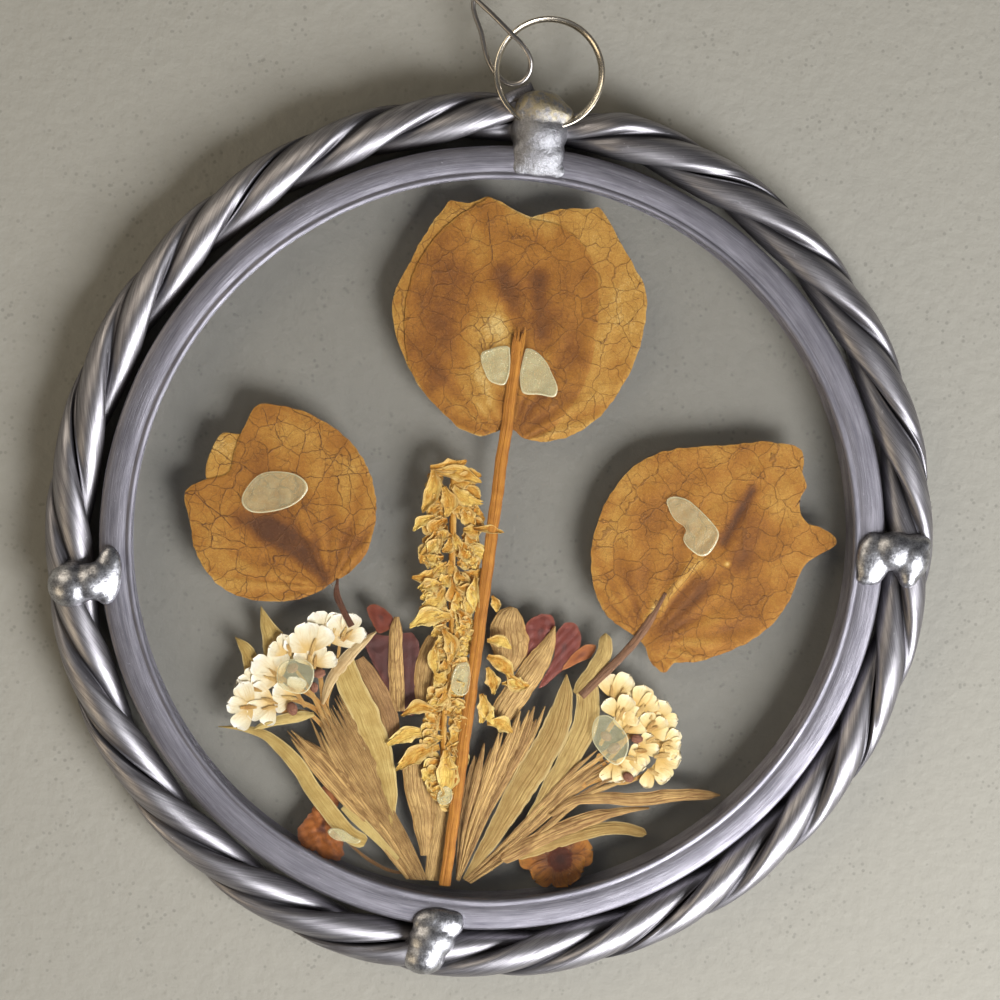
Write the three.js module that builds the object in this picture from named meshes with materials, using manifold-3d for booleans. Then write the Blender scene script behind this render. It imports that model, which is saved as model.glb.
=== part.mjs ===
// A round hanging flower frame, lying on its back. Two glass discs hold pressed
// seed husks, leaves and flowers between them. A lead channel runs round their rim,
// a twisted lead rope runs round the channel, and four solder joints hold the two
// together. A ring at the top carries a wire hanger.
//
// Millimetres. +X is to the right, +Y runs up towards the ring, and +Z faces the
// viewer. The measures below are taken from the centre of the glass, and the whole
// group is shifted at the end so that its origin is under the middle of its box.

import * as THREE from "three";
import Module from "manifold-3d";
import { mergeVertices } from "three/addons/utils/BufferGeometryUtils.js";

// ---------------------------------------------------------------- dimensions

const GLASS_RADIUS = 50.7;
const GLASS_THICKNESS = 1.6;
const BACK_GLASS_Z = 0.75;
const FRONT_GLASS_Z = 3.95;
const GLASS_SEGMENTS = 64;

const CAME = { outerRadius: 52, lipRadius: 47.7, heartRadius: 50.9, height: 6.2, flange: 0.6, edge: 0.35 };
const CAME_SEGMENTS = 72;

const ROPE = {
  centreRadius: 55.85, radius: 3.5, turns: 8.6, phase: 0.55,
  startAngle: 94.6, endAngle: 445.4, taperLength: 9, taperFactor: 0.8,
};
const ROPE_STEPS = 144;
const ROPE_SECTION_POINTS = 9;
const ROPE_LOBE_DEPTH = 0.07;

const RING = { x: -0.1, y: 61.7, z: 6.3, radius: 6.8, wireRadius: 0.5 };
const RING_SEGMENTS = 40;
const WIRE_SIDES = 8;

const HANGER_WIRE_RADIUS = 0.35;
const HANGER_SIDES = 6;
const HANGER_STEPS = 88;
const HANGER_CROSSING = new THREE.Vector3(-10.6, 69.9, 6.4);
const HANGER_SHANK_END = new THREE.Vector3(-22.4, 83.5, 1.6);
const HANGER_WRAP = { turns: 2, length: 3.6, radius: 0.78 };
const HANGER_HOOK = { radius: 4.2, sweep: 215 };

const SOLDER_GAP = 0.3;

// The specimens lie in thin layers, one on another, in the gap between the panes.
const SPECIMEN_FLOOR_Z = 2.42;
const LAYER_PITCH = 0.1;
const LAYER_THICKNESS = 0.08;
const HUSK_Z = 3.24;
const HUSK_THICKNESS = 0.22;
const GLUE_Z = 3.5;
const GLUE_THICKNESS = 0.08;
const STRAW_Z = 3.6;
const STRAW_THICKNESS = 0.28;

// ----------------------------------------------------------------- materials

const finish = (color, roughness, metalness = 0, extra = {}) =>
  new THREE.MeshStandardMaterial({ color, roughness, metalness, ...extra });

const LEAD = finish(0x77757f, 0.45, 0.9);
const ROPE_LEAD = finish(0x6d6b76, 0.35, 0.95);
const SOLDER = finish(0xa9a9b0, 0.25, 1);
const NICKEL = finish(0xb8b1a4, 0.2, 1);
const STEEL_WIRE = finish(0x6f6a66, 0.3, 1);
const GLASS = finish(0xdfe6e2, 0.05, 0, { transparent: true, opacity: 0.2 });
const HUSK = finish(0xb97a2e, 0.8);
const STRAW = finish(0xc0803a, 0.6);
const FLORET = finish(0xd2a24c, 0.8);
const CREAM_PETAL = finish(0xe8dcb4, 0.8);
const BLADE = finish(0xb5945f, 0.8);
const OLIVE_LEAF = finish(0xb79b4e, 0.8);
const BURGUNDY = finish(0x6b3430, 0.8);
const RUSSET = finish(0x96602a, 0.8);
const GLUE = finish(0xc9c6a4, 0.3, 0, { transparent: true, opacity: 0.6 });

// ------------------------------------------------------------- small helpers

const degrees = THREE.MathUtils.degToRad;

function part(name, geometry, material) {
  const mesh = new THREE.Mesh(geometry, material);
  mesh.name = name;
  return mesh;
}

/** A flat piece with the outline of the given points, lying at height z. */
function flatPiece(name, points, material, z, thickness) {
  const shape = new THREE.Shape(points.map(([x, y]) => new THREE.Vector2(x, y)));
  const geometry = new THREE.ExtrudeGeometry(shape, { depth: thickness, bevelEnabled: false });
  geometry.translate(0, 0, z);
  return part(name, geometry, material);
}

/** A specimen in one of the thin layers, counted from the back pane. */
function specimen(name, layer, points, material) {
  return flatPiece(name, points, material, SPECIMEN_FLOOR_Z + layer * LAYER_PITCH, LAYER_THICKNESS);
}

/** A ring or disc turned about the Z axis from [radius, height] pairs. */
function turned(profile, segments) {
  const geometry = new THREE.LatheGeometry(profile.map(([r, z]) => new THREE.Vector2(r, z)), segments);
  geometry.rotateX(Math.PI / 2);
  return geometry;
}

/** A closed round tube of the given radius along a curve. */
function tube(curve, radius, sides, steps) {
  const section = new THREE.Shape();
  for (let i = 0; i < sides; i += 1) {
    const angle = (2 * Math.PI * i) / sides;
    const corner = [radius * Math.cos(angle), radius * Math.sin(angle)];
    if (i === 0) section.moveTo(...corner);
    else section.lineTo(...corner);
  }
  return new THREE.ExtrudeGeometry(section, { steps, extrudePath: curve, curveSegments: 1, bevelEnabled: false });
}

// ------------------------------------------------------------------- booleans

const manifold = await Module();
manifold.setup();

function toSolid(geometry) {
  const bare = geometry.clone();
  bare.deleteAttribute("normal");
  bare.deleteAttribute("uv");
  const merged = mergeVertices(bare, 1e-5);
  return new manifold.Manifold(new manifold.Mesh({
    numProp: 3,
    vertProperties: new Float32Array(merged.attributes.position.array),
    triVerts: new Uint32Array(merged.index.array),
  }));
}

function toGeometry(solid) {
  const mesh = solid.getMesh();
  const geometry = new THREE.BufferGeometry();
  geometry.setAttribute("position", new THREE.BufferAttribute(new Float32Array(mesh.vertProperties), 3));
  geometry.setIndex(new THREE.BufferAttribute(new Uint32Array(mesh.triVerts), 1));
  geometry.computeVertexNormals();
  return geometry;
}

// ------------------------------------------------------------ glass and frame

function glassDisc(name, z) {
  const top = z + GLASS_THICKNESS;
  return part(name, turned([[0, z], [GLASS_RADIUS, z], [GLASS_RADIUS, top], [0, top]], GLASS_SEGMENTS), GLASS);
}

/** The lead channel: two lips joined by a heart outside the glass, with eased outer edges. */
function rimCame() {
  const { outerRadius, lipRadius, heartRadius, height, flange, edge } = CAME;
  const profile = [
    [lipRadius, edge], [lipRadius + edge, 0], [outerRadius - edge, 0], [outerRadius, edge],
    [outerRadius, height - edge], [outerRadius - edge, height],
    [lipRadius + edge, height], [lipRadius, height - edge],
    [lipRadius, height - flange], [heartRadius, height - flange],
    [heartRadius, flange], [lipRadius, flange],
  ];
  return part("rim_came", turned([...profile, profile[0]], CAME_SEGMENTS), LEAD);
}

/** The section of the rope: a rounded triangle, as three strands twisted together give. */
function ropeSection() {
  const corners = [];
  for (let i = 0; i < ROPE_SECTION_POINTS; i += 1) {
    const angle = (2 * Math.PI * i) / ROPE_SECTION_POINTS;
    const reach = ROPE.radius * (1 - ROPE_LOBE_DEPTH + ROPE_LOBE_DEPTH * Math.cos(3 * angle));
    corners.push(new THREE.Vector2(reach * Math.cos(angle), reach * Math.sin(angle)));
  }
  return new THREE.Shape(corners);
}

/** How thick the rope is at a distance from its nearer end, as a share of its full radius. */
function ropeTaper(distance) {
  const share = THREE.MathUtils.smoothstep(distance, 0, ROPE.taperLength);
  return THREE.MathUtils.lerp(ROPE.taperFactor, 1, share);
}

/** The twisted rope: a straight bar is twisted, then bent round the channel, and lies on the same bench. */
function twistedBorder() {
  const arc = degrees(ROPE.endAngle - ROPE.startAngle);
  const length = arc * ROPE.centreRadius;
  const geometry = new THREE.ExtrudeGeometry(ropeSection(), {
    depth: length, steps: ROPE_STEPS, curveSegments: 1, bevelEnabled: false,
  });
  const place = geometry.attributes.position;
  for (let i = 0; i < place.count; i += 1) {
    const along = place.getZ(i) / length;
    const scale = ropeTaper(Math.min(place.getZ(i), length - place.getZ(i)));
    const twist = 2 * Math.PI * (ROPE.phase + ROPE.turns * along);
    const u = scale * (place.getX(i) * Math.cos(twist) - place.getY(i) * Math.sin(twist));
    const v = scale * (place.getX(i) * Math.sin(twist) + place.getY(i) * Math.cos(twist));
    const angle = degrees(ROPE.startAngle) + arc * along;
    const radius = ROPE.centreRadius - u;
    place.setXYZ(i, radius * Math.cos(angle), radius * Math.sin(angle), ROPE.radius * scale + v);
  }
  return part("twisted_border", geometry, ROPE_LEAD);
}

// ------------------------------------------------------------- ring and hanger

function hangingRing() {
  const geometry = new THREE.TorusGeometry(RING.radius, RING.wireRadius, WIRE_SIDES, RING_SEGMENTS);
  geometry.translate(RING.x, RING.y, RING.z);
  return part("hanging_ring", geometry, NICKEL);
}

/** The two directions across the hanger's shank: level, and square to that. */
function shankAxes() {
  const along = HANGER_SHANK_END.clone().sub(HANGER_CROSSING).normalize();
  const across = new THREE.Vector3(0, 0, 1).cross(along).normalize();
  return { along, across, above: along.clone().cross(across) };
}

/** The hanger's wire from the tip of its open hook, round its loop in the ring, to the end wrapped on its shank. */
function hangerRoute() {
  const { along, across, above } = shankAxes();
  const points = [];

  const hookCentre = HANGER_SHANK_END.clone().addScaledVector(across, HANGER_HOOK.radius);
  for (let turn = HANGER_HOOK.sweep; turn > 0; turn -= HANGER_HOOK.sweep / 9) {
    const angle = degrees(turn);
    const point = hookCentre.clone()
      .addScaledVector(across, -HANGER_HOOK.radius * Math.cos(angle))
      .addScaledVector(along, HANGER_HOOK.radius * Math.sin(angle));
    points.push(point.setZ(Math.max(point.z, 2 * HANGER_WIRE_RADIUS)));
  }
  points.push(HANGER_SHANK_END.clone(), HANGER_SHANK_END.clone().lerp(HANGER_CROSSING, 0.5), HANGER_CROSSING.clone());

  const loop = [
    [-8.4, 68.2, 7.0], [-5.9, 66.2, 7.25], [-3.7, 64.4, 7.1], [-2.75, 62.9, 6.8], [-2.7, 61.5, 6.4],
    [-3.6, 60.1, 5.9], [-5.1, 59.75, 5.55], [-6.6, 60.6, 5.35], [-8.0, 62.3, 5.35], [-9.3, 65.6, 5.45],
  ];
  points.push(...loop.map(([x, y, z]) => new THREE.Vector3(x, y, z)));

  const wrapSteps = 8 * HANGER_WRAP.turns;
  for (let i = 0; i <= wrapSteps; i += 1) {
    const angle = -Math.PI / 2 - (2 * Math.PI * i) / 8;
    points.push(HANGER_CROSSING.clone()
      .addScaledVector(along, 0.4 + (HANGER_WRAP.length * i) / wrapSteps)
      .addScaledVector(across, HANGER_WRAP.radius * Math.cos(angle))
      .addScaledVector(above, HANGER_WRAP.radius * Math.sin(angle)));
  }
  return new THREE.CatmullRomCurve3(points, false, "centripetal");
}

function wireHanger() {
  return part("wire_hanger", tube(hangerRoute(), HANGER_WIRE_RADIUS, HANGER_SIDES, HANGER_STEPS), STEEL_WIRE);
}

// --------------------------------------------------------------------- solder

/** What a solder joint is cut back from: the rope, the channel and the ring, each a gap larger. */
function solderClearance() {
  const ropeTube = new THREE.TorusGeometry(ROPE.centreRadius, ROPE.radius + SOLDER_GAP, 10, 60);
  ropeTube.translate(0, 0, ROPE.radius);
  const channel = turned([
    [CAME.lipRadius - SOLDER_GAP, -1], [CAME.outerRadius + SOLDER_GAP, -1],
    [CAME.outerRadius + SOLDER_GAP, CAME.height + SOLDER_GAP],
    [CAME.lipRadius - SOLDER_GAP, CAME.height + SOLDER_GAP], [CAME.lipRadius - SOLDER_GAP, -1],
  ], 72);
  const ringTube = new THREE.TorusGeometry(RING.radius, RING.wireRadius + SOLDER_GAP, 6, 36);
  ringTube.translate(RING.x, RING.y, RING.z);
  return { ropeTube: toSolid(ropeTube), channel: toSolid(channel), ringTube: toSolid(ringTube) };
}

const clearance = solderClearance();

/** A rounded lump of solder. Each drop is [x, y, z, half width, half depth, half height]. */
function drops(list) {
  return list
    .map(([x, y, z, rx, ry, rz]) => {
      const ball = new THREE.SphereGeometry(1, 10, 7);
      ball.rotateX(Math.PI / 2);
      ball.scale(rx, ry, rz);
      ball.translate(x, y, z);
      return toSolid(ball);
    })
    .reduce((whole, drop) => whole.add(drop));
}

/** A lump of solder on the front of the rope and the channel. */
function sideJoint(name, list) {
  const lump = drops(list).subtract(clearance.ropeTube).subtract(clearance.channel);
  const largest = lump.decompose().sort((a, b) => b.volume() - a.volume())[0];
  return part(name, toGeometry(largest), SOLDER);
}

/** The joint at the top fills the space between the rope's two ends and holds the ring. */
function topJoint() {
  const lump = drops([
    [-0.3, 50.6, 6.2, 4.1, 3.0, 1.2],
    [-0.3, 54.2, 4.2, 3.4, 3.6, 3.2],
    [-0.5, 56.4, 5.2, 3.3, 2.6, 2.5],
  ]).subtract(clearance.channel).subtract(clearance.ringTube);
  const largest = lump.decompose().sort((a, b) => b.volume() - a.volume())[0];
  return part("solder_joint_top", toGeometry(largest), SOLDER);
}

// ------------------------------------------------------------------ specimens

const husks = [
  flatPiece("husk_top", [
    [-6, 45.1], [-3, 44], [-0.3, 42.9], [3, 44.4], [8.5, 45.1], [12, 41.3], [14, 38.5], [16.2, 35],
    [16.6, 32], [15.6, 25], [14.2, 21.5], [12, 18], [9, 15.3], [6, 14], [3.5, 13.6], [0, 15],
    [-3.5, 13.6], [-6, 14.2], [-9, 16.3], [-12, 19], [-14.5, 22.5], [-16.5, 26.5], [-17.2, 30.5],
    [-15, 36.5], [-13.5, 40], [-11, 44], [-8.5, 44],
  ], HUSK, HUSK_Z, HUSK_THICKNESS),
  flatPiece("husk_left", [
    [-33, 15], [-30, 15.1], [-27, 14.8], [-24, 13.5], [-21, 11.8], [-18.6, 9.3], [-17, 6.3], [-16.1, 3],
    [-16.2, -0.5], [-17, -3.8], [-18.8, -6], [-20.9, -7.3], [-17.4, -12.8], [-18.3, -13.3],
    [-22, -8.4], [-24.5, -9.9], [-28, -10.8], [-31.5, -10.8], [-35, -9.9], [-37.8, -7.7],
    [-39.5, -5], [-40.5, -1.5], [-41.4, 3], [-39.4, 4.3], [-38.7, 8.5], [-37.3, 10.9], [-35.2, 11],
  ], HUSK, HUSK_Z, HUSK_THICKNESS),
  flatPiece("husk_right", [
    [34.8, 17], [39.8, 16], [40.2, 13], [40.8, 11.5], [40.2, 10], [41.3, 6.8], [43.5, 6.2],
    [45.5, 5], [45.9, 4.2], [44.5, 3], [42.2, 1.2], [40.2, -4.5], [38.5, -7.5], [35.5, -10.2],
    [32, -12.2], [28.5, -13.6], [25.5, -14.2], [24.5, -15.6], [23, -14.7], [20.8, -11.6],
    [19.4, -13.7], [16.8, -16.5], [13.9, -19.9], [13, -19.4], [16, -15.6], [18.4, -13], [19.6, -10.8],
    [15.5, -8.2], [14, -5.8], [13.1, -3], [12.7, 0.5], [13.1, 4], [14.5, 8], [17, 11.8], [20.5, 14.2],
    [25, 15.4], [30, 16.2],
  ], HUSK, HUSK_Z, HUSK_THICKNESS),
];

const straw = flatPiece("straw_stem", [
  [-2.6, -46.6], [-1.1, -46.9], [0.9, 26], [0.8, 28.5], [0.4, 27.8], [-0.1, 28.3], [-0.8, 28.1],
], STRAW, STRAW_Z, STRAW_THICKNESS);

const spike = flatPiece("flower_spike", [
  [-10.6, 8.6], [-9.8, 9.8], [-7, 10.6], [-5, 10.2], [-3, 7.8], [-2.2, 4.8], [-2, 1.5], [0.9, 1.6],
  [-0.2, -1.6], [-2.6, -3], [-1.2, -5], [0.2, -7.6], [1.1, -9.3], [-0.4, -11], [0.8, -13.6],
  [2.6, -15.2], [5.6, -17], [6.6, -18.6], [5, -19.4], [2.8, -19], [2.4, -21], [3, -23.4], [5, -25],
  [4, -26], [1.6, -25.8], [-1, -23.8], [-2, -27], [-2, -32], [-2.6, -36], [-4.6, -35.4],
  [-4.8, -31], [-6.6, -29.6], [-9.9, -31.8], [-9.6, -30], [-11.6, -28.6], [-8.6, -27], [-10.2, -24.8],
  [-8.6, -23], [-7.4, -21.6], [-5.8, -19.6], [-6, -17], [-6.4, -14.6], [-6, -12.4], [-10, -13.3],
  [-9.8, -10.8], [-9.6, -8], [-10.2, -5.6], [-8.4, -3.8], [-9.8, -2.4], [-9.6, -0.8], [-11.1, 0.3],
  [-9.8, 1.6], [-10.6, 3.2], [-9.9, 5.4],
], FLORET, HUSK_Z, HUSK_THICKNESS);

const clusters = [
  specimen("white_cluster_left", 3, [
    [-33.5, -24.3], [-32.6, -22.9], [-31.4, -22.2], [-29.8, -19.6], [-27, -17.2], [-26, -15],
    [-24, -12.9], [-22.4, -13.6], [-21, -11.2], [-17.8, -11.4], [-17, -12.8], [-17.8, -14.5],
    [-19.5, -16.5], [-20.5, -20], [-20, -24], [-22.5, -26], [-28.5, -27.6], [-31.5, -27], [-33.3, -26.3],
  ], CREAM_PETAL),
  specimen("white_cluster_right", 3, [
    [16.6, -17.5], [17.8, -15.4], [20.4, -17], [22.5, -18.1], [25, -19], [26.1, -21], [27.4, -24],
    [28.5, -27], [26.7, -28.8], [27.4, -30.6], [24.8, -30.6], [21.5, -30.8], [19.5, -31.2],
    [18.2, -30], [16.8, -27.5], [15.4, -25], [15.9, -21.5],
  ], CREAM_PETAL),
];

const petals = [
  specimen("burgundy_petal_left_outer", 0, [
    [-16.2, -10.8], [-15.4, -10.1], [-13.7, -10.4], [-12.8, -11.6], [-13.2, -13.7], [-15.4, -13.2],
  ], BURGUNDY),
  specimen("burgundy_petal_left_inner", 0, [
    [-16.4, -14], [-13, -13.9], [-9.5, -13.2], [-8.1, -16], [-7.6, -21], [-8.4, -24.6], [-10.6, -24],
    [-13, -20], [-15, -17],
  ], BURGUNDY),
  specimen("burgundy_petal_right_inner", 0, [
    [5.3, -10.5], [6.6, -9.2], [8.6, -9], [9.3, -10.8], [8.6, -13], [6, -15.6],
  ], BURGUNDY),
  specimen("burgundy_petal_right_outer", 0, [
    [9.5, -11.2], [10.6, -9.8], [12, -9.9], [13, -11.6], [12.8, -14], [10.6, -17], [7.6, -19.7], [9.4, -14.6],
  ], BURGUNDY),
  specimen("russet_petal", 1, [
    [10.6, -16.6], [12.2, -13.8], [13.6, -12.6], [15, -12.5], [14.6, -14.2], [13, -15.2],
  ], RUSSET),
];

const smallFlowers = [
  specimen("small_flower_right", 0, [
    [7.2, -42.4], [8.6, -40.4], [11.4, -40], [13, -38.6], [15.6, -38], [17, -38.8], [18.4, -40.8],
    [16.9, -43.2], [16.3, -45], [13, -45.7], [10, -45.6], [9, -43.9],
  ], RUSSET),
  specimen("small_flower_left", 0, [
    [-20.4, -37.8], [-19, -34.4], [-17.2, -36.4], [-17.4, -39.6], [-16, -42], [-16, -44.4],
    [-17.5, -44.8], [-19.5, -43.8], [-21.5, -43], [-22.2, -41.4], [-21.4, -39.8],
  ], RUSSET),
  specimen("thin_stem", 0, [
    [-15, -42.2], [-12, -44.2], [-9, -45.4], [-6.6, -45.5], [-6.6, -45.9], [-9.2, -45.9],
    [-12.2, -44.7], [-15.2, -42.7],
  ], RUSSET),
];

const leaves = [
  specimen("leaf_tip_left_upper", 1, [
    [-30, -11.5], [-27.8, -13.4], [-26, -16.2], [-24, -19], [-28.6, -19], [-29.6, -15.4],
  ], OLIVE_LEAF),
  specimen("leaf_tip_left_lower", 2, [
    [-33, -16], [-30.8, -16.5], [-29.2, -18.6], [-29, -21], [-31.4, -19],
  ], OLIVE_LEAF),
  specimen("striped_petal_left", 1, [
    [-7, -12.6], [-5.6, -13.2], [-5.2, -16], [-5.8, -20], [-7.2, -23.6], [-8.3, -20.4], [-8.7, -16],
  ], BLADE),
  specimen("striped_petal_right", 1, [
    [0.3, -13], [0.9, -10.5], [2, -9], [3.5, -8.4], [5, -9.2], [5.9, -10.8], [5.3, -13.8], [4.2, -17],
    [2.6, -17.2],
  ], BLADE),
  specimen("upright_blade", 1, [
    [-12.8, -12.8], [-12, -11.2], [-11.2, -12], [-10.8, -15], [-9.2, -24], [-11.6, -23.6], [-12.4, -18],
  ], BLADE),
  specimen("brown_blade_left", 2, [
    [-17.2, -17.8], [-15.5, -17], [-13.4, -20], [-11, -23.6], [-9.8, -25], [-9.8, -27.6], [-12.2, -27.6],
    [-14.6, -22.6],
  ], BLADE),
  specimen("pointed_petal", 2, [
    [9, -10.5], [9.7, -12], [9.6, -14.5], [8.6, -17.2], [7, -19.8], [4.6, -23.8], [2.4, -23.4],
    [2, -20.6], [4.6, -17], [6.6, -13.6],
  ], BLADE),
  specimen("centre_blades", 2, [
    [-9.3, -30.6], [-7.4, -30.2], [-4.6, -30.6], [-2.9, -35.6], [-2.7, -46.4], [-5.4, -46.4],
    [-5.8, -41], [-8.2, -35.6],
  ], BLADE),
  specimen("left_sheaf_outer", 3, [
    [-26.2, -27.4], [-24.2, -27.8], [-19.4, -31.4], [-14.6, -36.4], [-9, -40.4], [-5.6, -46.4],
    [-7, -46.4], [-11.4, -41.6], [-16.4, -37], [-21.2, -32.6],
  ], BLADE),
  specimen("left_sheaf_inner", 4, [
    [-22.3, -26], [-20.8, -21.6], [-19.2, -21.3], [-16, -26], [-13, -31], [-10.4, -36.6], [-6, -42.6],
    [-4.2, -46.4], [-5.8, -46.4], [-10.6, -41], [-14.4, -36.6], [-18.6, -32],
  ], BLADE),
  specimen("yellow_leaf_left", 5, [
    [-20, -18], [-17.6, -17.2], [-14, -21], [-11.5, -26.5], [-10, -31], [-9.2, -37], [-9.4, -40.8],
    [-11, -37], [-13, -31.6], [-16, -26], [-19, -21.8],
  ], OLIVE_LEAF),
  specimen("light_blade_left", 6, [
    [-14.4, -13.4], [-14.3, -14.6], [-16.2, -16.8], [-19.4, -21.2], [-20.4, -20.2], [-19, -17], [-16.6, -14.6],
  ], BLADE),
  specimen("grass_blade_left", 6, [
    [-34, -28], [-30, -27.5], [-26.8, -28.3], [-23.6, -30.8], [-19.6, -35.6], [-17, -38], [-13.2, -40.4],
    [-13, -42], [-15.4, -42], [-18.4, -40], [-21.4, -36.4], [-24.4, -32.2], [-27.4, -29.8], [-30, -28.7],
  ], OLIVE_LEAF),
  specimen("right_sheaf_inner", 3, [
    [10, -18.6], [9.2, -22], [6, -30], [3, -37], [1.4, -42], [-0.4, -46], [-0.9, -42], [-0.4, -34],
    [0.1, -27], [4, -24.2], [6, -21.2], [8.3, -19.2],
  ], BLADE),
  specimen("right_sheaf_outer", 4, [
    [23, -28.6], [24.4, -29.6], [20, -31], [15.6, -33], [12.4, -36], [9, -39.6], [4.6, -43.6],
    [1.6, -46.2], [0.6, -45.8], [4.4, -40.6], [9.2, -34.4], [13, -29], [16.4, -24.6], [17.6, -24.8],
    [16.6, -28.6], [19, -28.8],
  ], BLADE),
  specimen("olive_leaf_back", 5, [
    [12.8, -18.4], [16.6, -20.2], [15.8, -23.6], [14, -28], [11, -33.4], [7.6, -38.4], [8.4, -34.2],
    [10.6, -30.4], [12.4, -26.8], [13, -23],
  ], OLIVE_LEAF),
  specimen("olive_leaf_front", 6, [
    [11.4, -16.7], [12.9, -19.5], [13.2, -23], [12, -27.5], [10.2, -31], [7.6, -35], [4.8, -40],
    [2.4, -43.6], [0.9, -45.9], [0.6, -44.4], [2, -40], [4, -34], [7.4, -26.6], [9.2, -22], [10, -18.4],
  ], OLIVE_LEAF),
  specimen("olive_tip_right", 7, [
    [15.9, -10.7], [17, -12.5], [17.2, -14.2], [15.4, -17], [13.3, -19.6], [12.4, -18.8], [13.6, -16],
    [14.8, -12.8],
  ], OLIVE_LEAF),
  specimen("grass_blade_right", 7, [
    [34, -31.3], [29.6, -30.9], [22, -32.2], [18.6, -32.3], [15.8, -32], [13.4, -33.8], [11.4, -36],
    [14, -34.6], [17, -33.8], [20, -34], [24, -33.6], [31.6, -32.4],
  ], OLIVE_LEAF),
  specimen("grass_blade_right_middle", 6, [
    [24.6, -33.9], [21, -34.3], [17, -35], [13, -36.4], [9.4, -38.9], [5.4, -42.6], [9, -41.2],
    [14, -38.4], [18, -36.2], [22, -35.1],
  ], OLIVE_LEAF),
  specimen("grass_blade_right_lower", 2, [
    [24.7, -37.7], [21, -36.2], [18, -36.6], [14.4, -37.6], [7, -42], [12, -41], [16.5, -38.9],
    [20, -38.1], [23.3, -38.2],
  ], OLIVE_LEAF),
];

const gluePatches = [
  ["glue_patch_top_left", [
    [-4.9, 24.6], [-3.6, 25.5], [-1.9, 26.1], [-1, 25.9], [-0.95, 20.8], [-2.8, 20.8], [-3.9, 21.7],
  ]],
  ["glue_patch_top_right", [
    [0.95, 20], [0.95, 26], [2, 26], [3.3, 25.2], [4.5, 23.8], [6.1, 20.1], [3.5, 19.9],
  ]],
  ["glue_patch_husk_left", [
    [-34.1, 2.2], [-33.5, 4.2], [-32, 6], [-29.5, 6.7], [-26.8, 6.4], [-25.3, 4.9], [-26, 3.2],
    [-28, 1.6], [-31.4, 0.7], [-33.2, 0.9],
  ]],
  ["glue_patch_husk_right", [
    [21.9, 8.2], [24.5, 8.5], [26.5, 7.3], [28.8, 5.3], [29.8, 4], [29.3, 2], [28.3, 0.8], [27, 0.7],
    [24.7, 2.6], [25, 4.2], [23.4, 5.2], [22.4, 6.5],
  ]],
  ["glue_patch_cluster_left", [
    [-27.2, -20], [-26.5, -18.4], [-24, -17.8], [-22.3, -18.7], [-22.2, -21.2], [-23.4, -22.8], [-26.6, -22],
  ]],
  ["glue_patch_cluster_right", [
    [15.7, -22.2], [17.5, -21.5], [19.5, -23], [20.9, -25], [20.6, -27.6], [19.4, -28.6], [17, -27],
    [15.5, -25],
  ]],
  ["glue_patch_spike_upper", [
    [-4.1, -18.9], [-3.5, -16.6], [-1.8, -16.3], [-1.4, -20.2], [-2.4, -21], [-3.8, -20.4],
  ]],
  ["glue_patch_spike_lower", [
    [-4.3, -34.6], [-3.5, -33.1], [-2.3, -33.4], [-2.2, -35.4], [-3.8, -35.8],
  ]],
  ["glue_patch_bottom_left", [
    [-18.4, -40.4], [-16.6, -40], [-14.8, -41], [-13.4, -41.8], [-15.8, -42], [-17.6, -41.6],
  ]],
].map(([name, points]) => flatPiece(name, points, GLUE, GLUE_Z, GLUE_THICKNESS));

// ------------------------------------------------------------------- assembly

const group = new THREE.Group();
group.add(
  glassDisc("back_glass", BACK_GLASS_Z),
  glassDisc("front_glass", FRONT_GLASS_Z),
  rimCame(),
  twistedBorder(),
  topJoint(),
  sideJoint("solder_joint_left", [
    [-53.6, -9.6, 6.4, 2.9, 2.7, 2.1], [-50.4, -9, 6.4, 1.9, 3, 1.2],
  ]),
  sideJoint("solder_joint_right", [
    [54, 3.6, 6.4, 2.7, 2.6, 2.1], [50.6, 3, 6.4, 2.4, 3, 1.2],
  ]),
  sideJoint("solder_joint_bottom", [
    [-3.6, -54.4, 6.4, 3.1, 3, 2.1], [-2.4, -51.2, 6.4, 2.6, 2.4, 1.2],
  ]),
  hangingRing(),
  wireHanger(),
  ...smallFlowers,
  ...petals,
  ...leaves,
  ...clusters,
  ...husks,
  spike,
  ...gluePatches,
  straw,
);

const middle = new THREE.Box3().setFromObject(group).getCenter(new THREE.Vector3());
group.position.set(-middle.x, -middle.y, 0);

export default group;
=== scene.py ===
"""A round hanging flower frame: pressed husks, leaves and flowers between two glass discs.

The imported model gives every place. Shapes below are in millimetres about the middle of
the glass, with +Y towards the hanging ring and +Z towards the viewer, and each piece is
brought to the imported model's own metres when it is laid on the bench.
"""
import logging
import math
from collections.abc import Callable, Mapping, Sequence
from dataclasses import dataclass
from enum import Enum

import bmesh
import bpy
import numpy as np
from mathutils import Matrix, Vector


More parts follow.
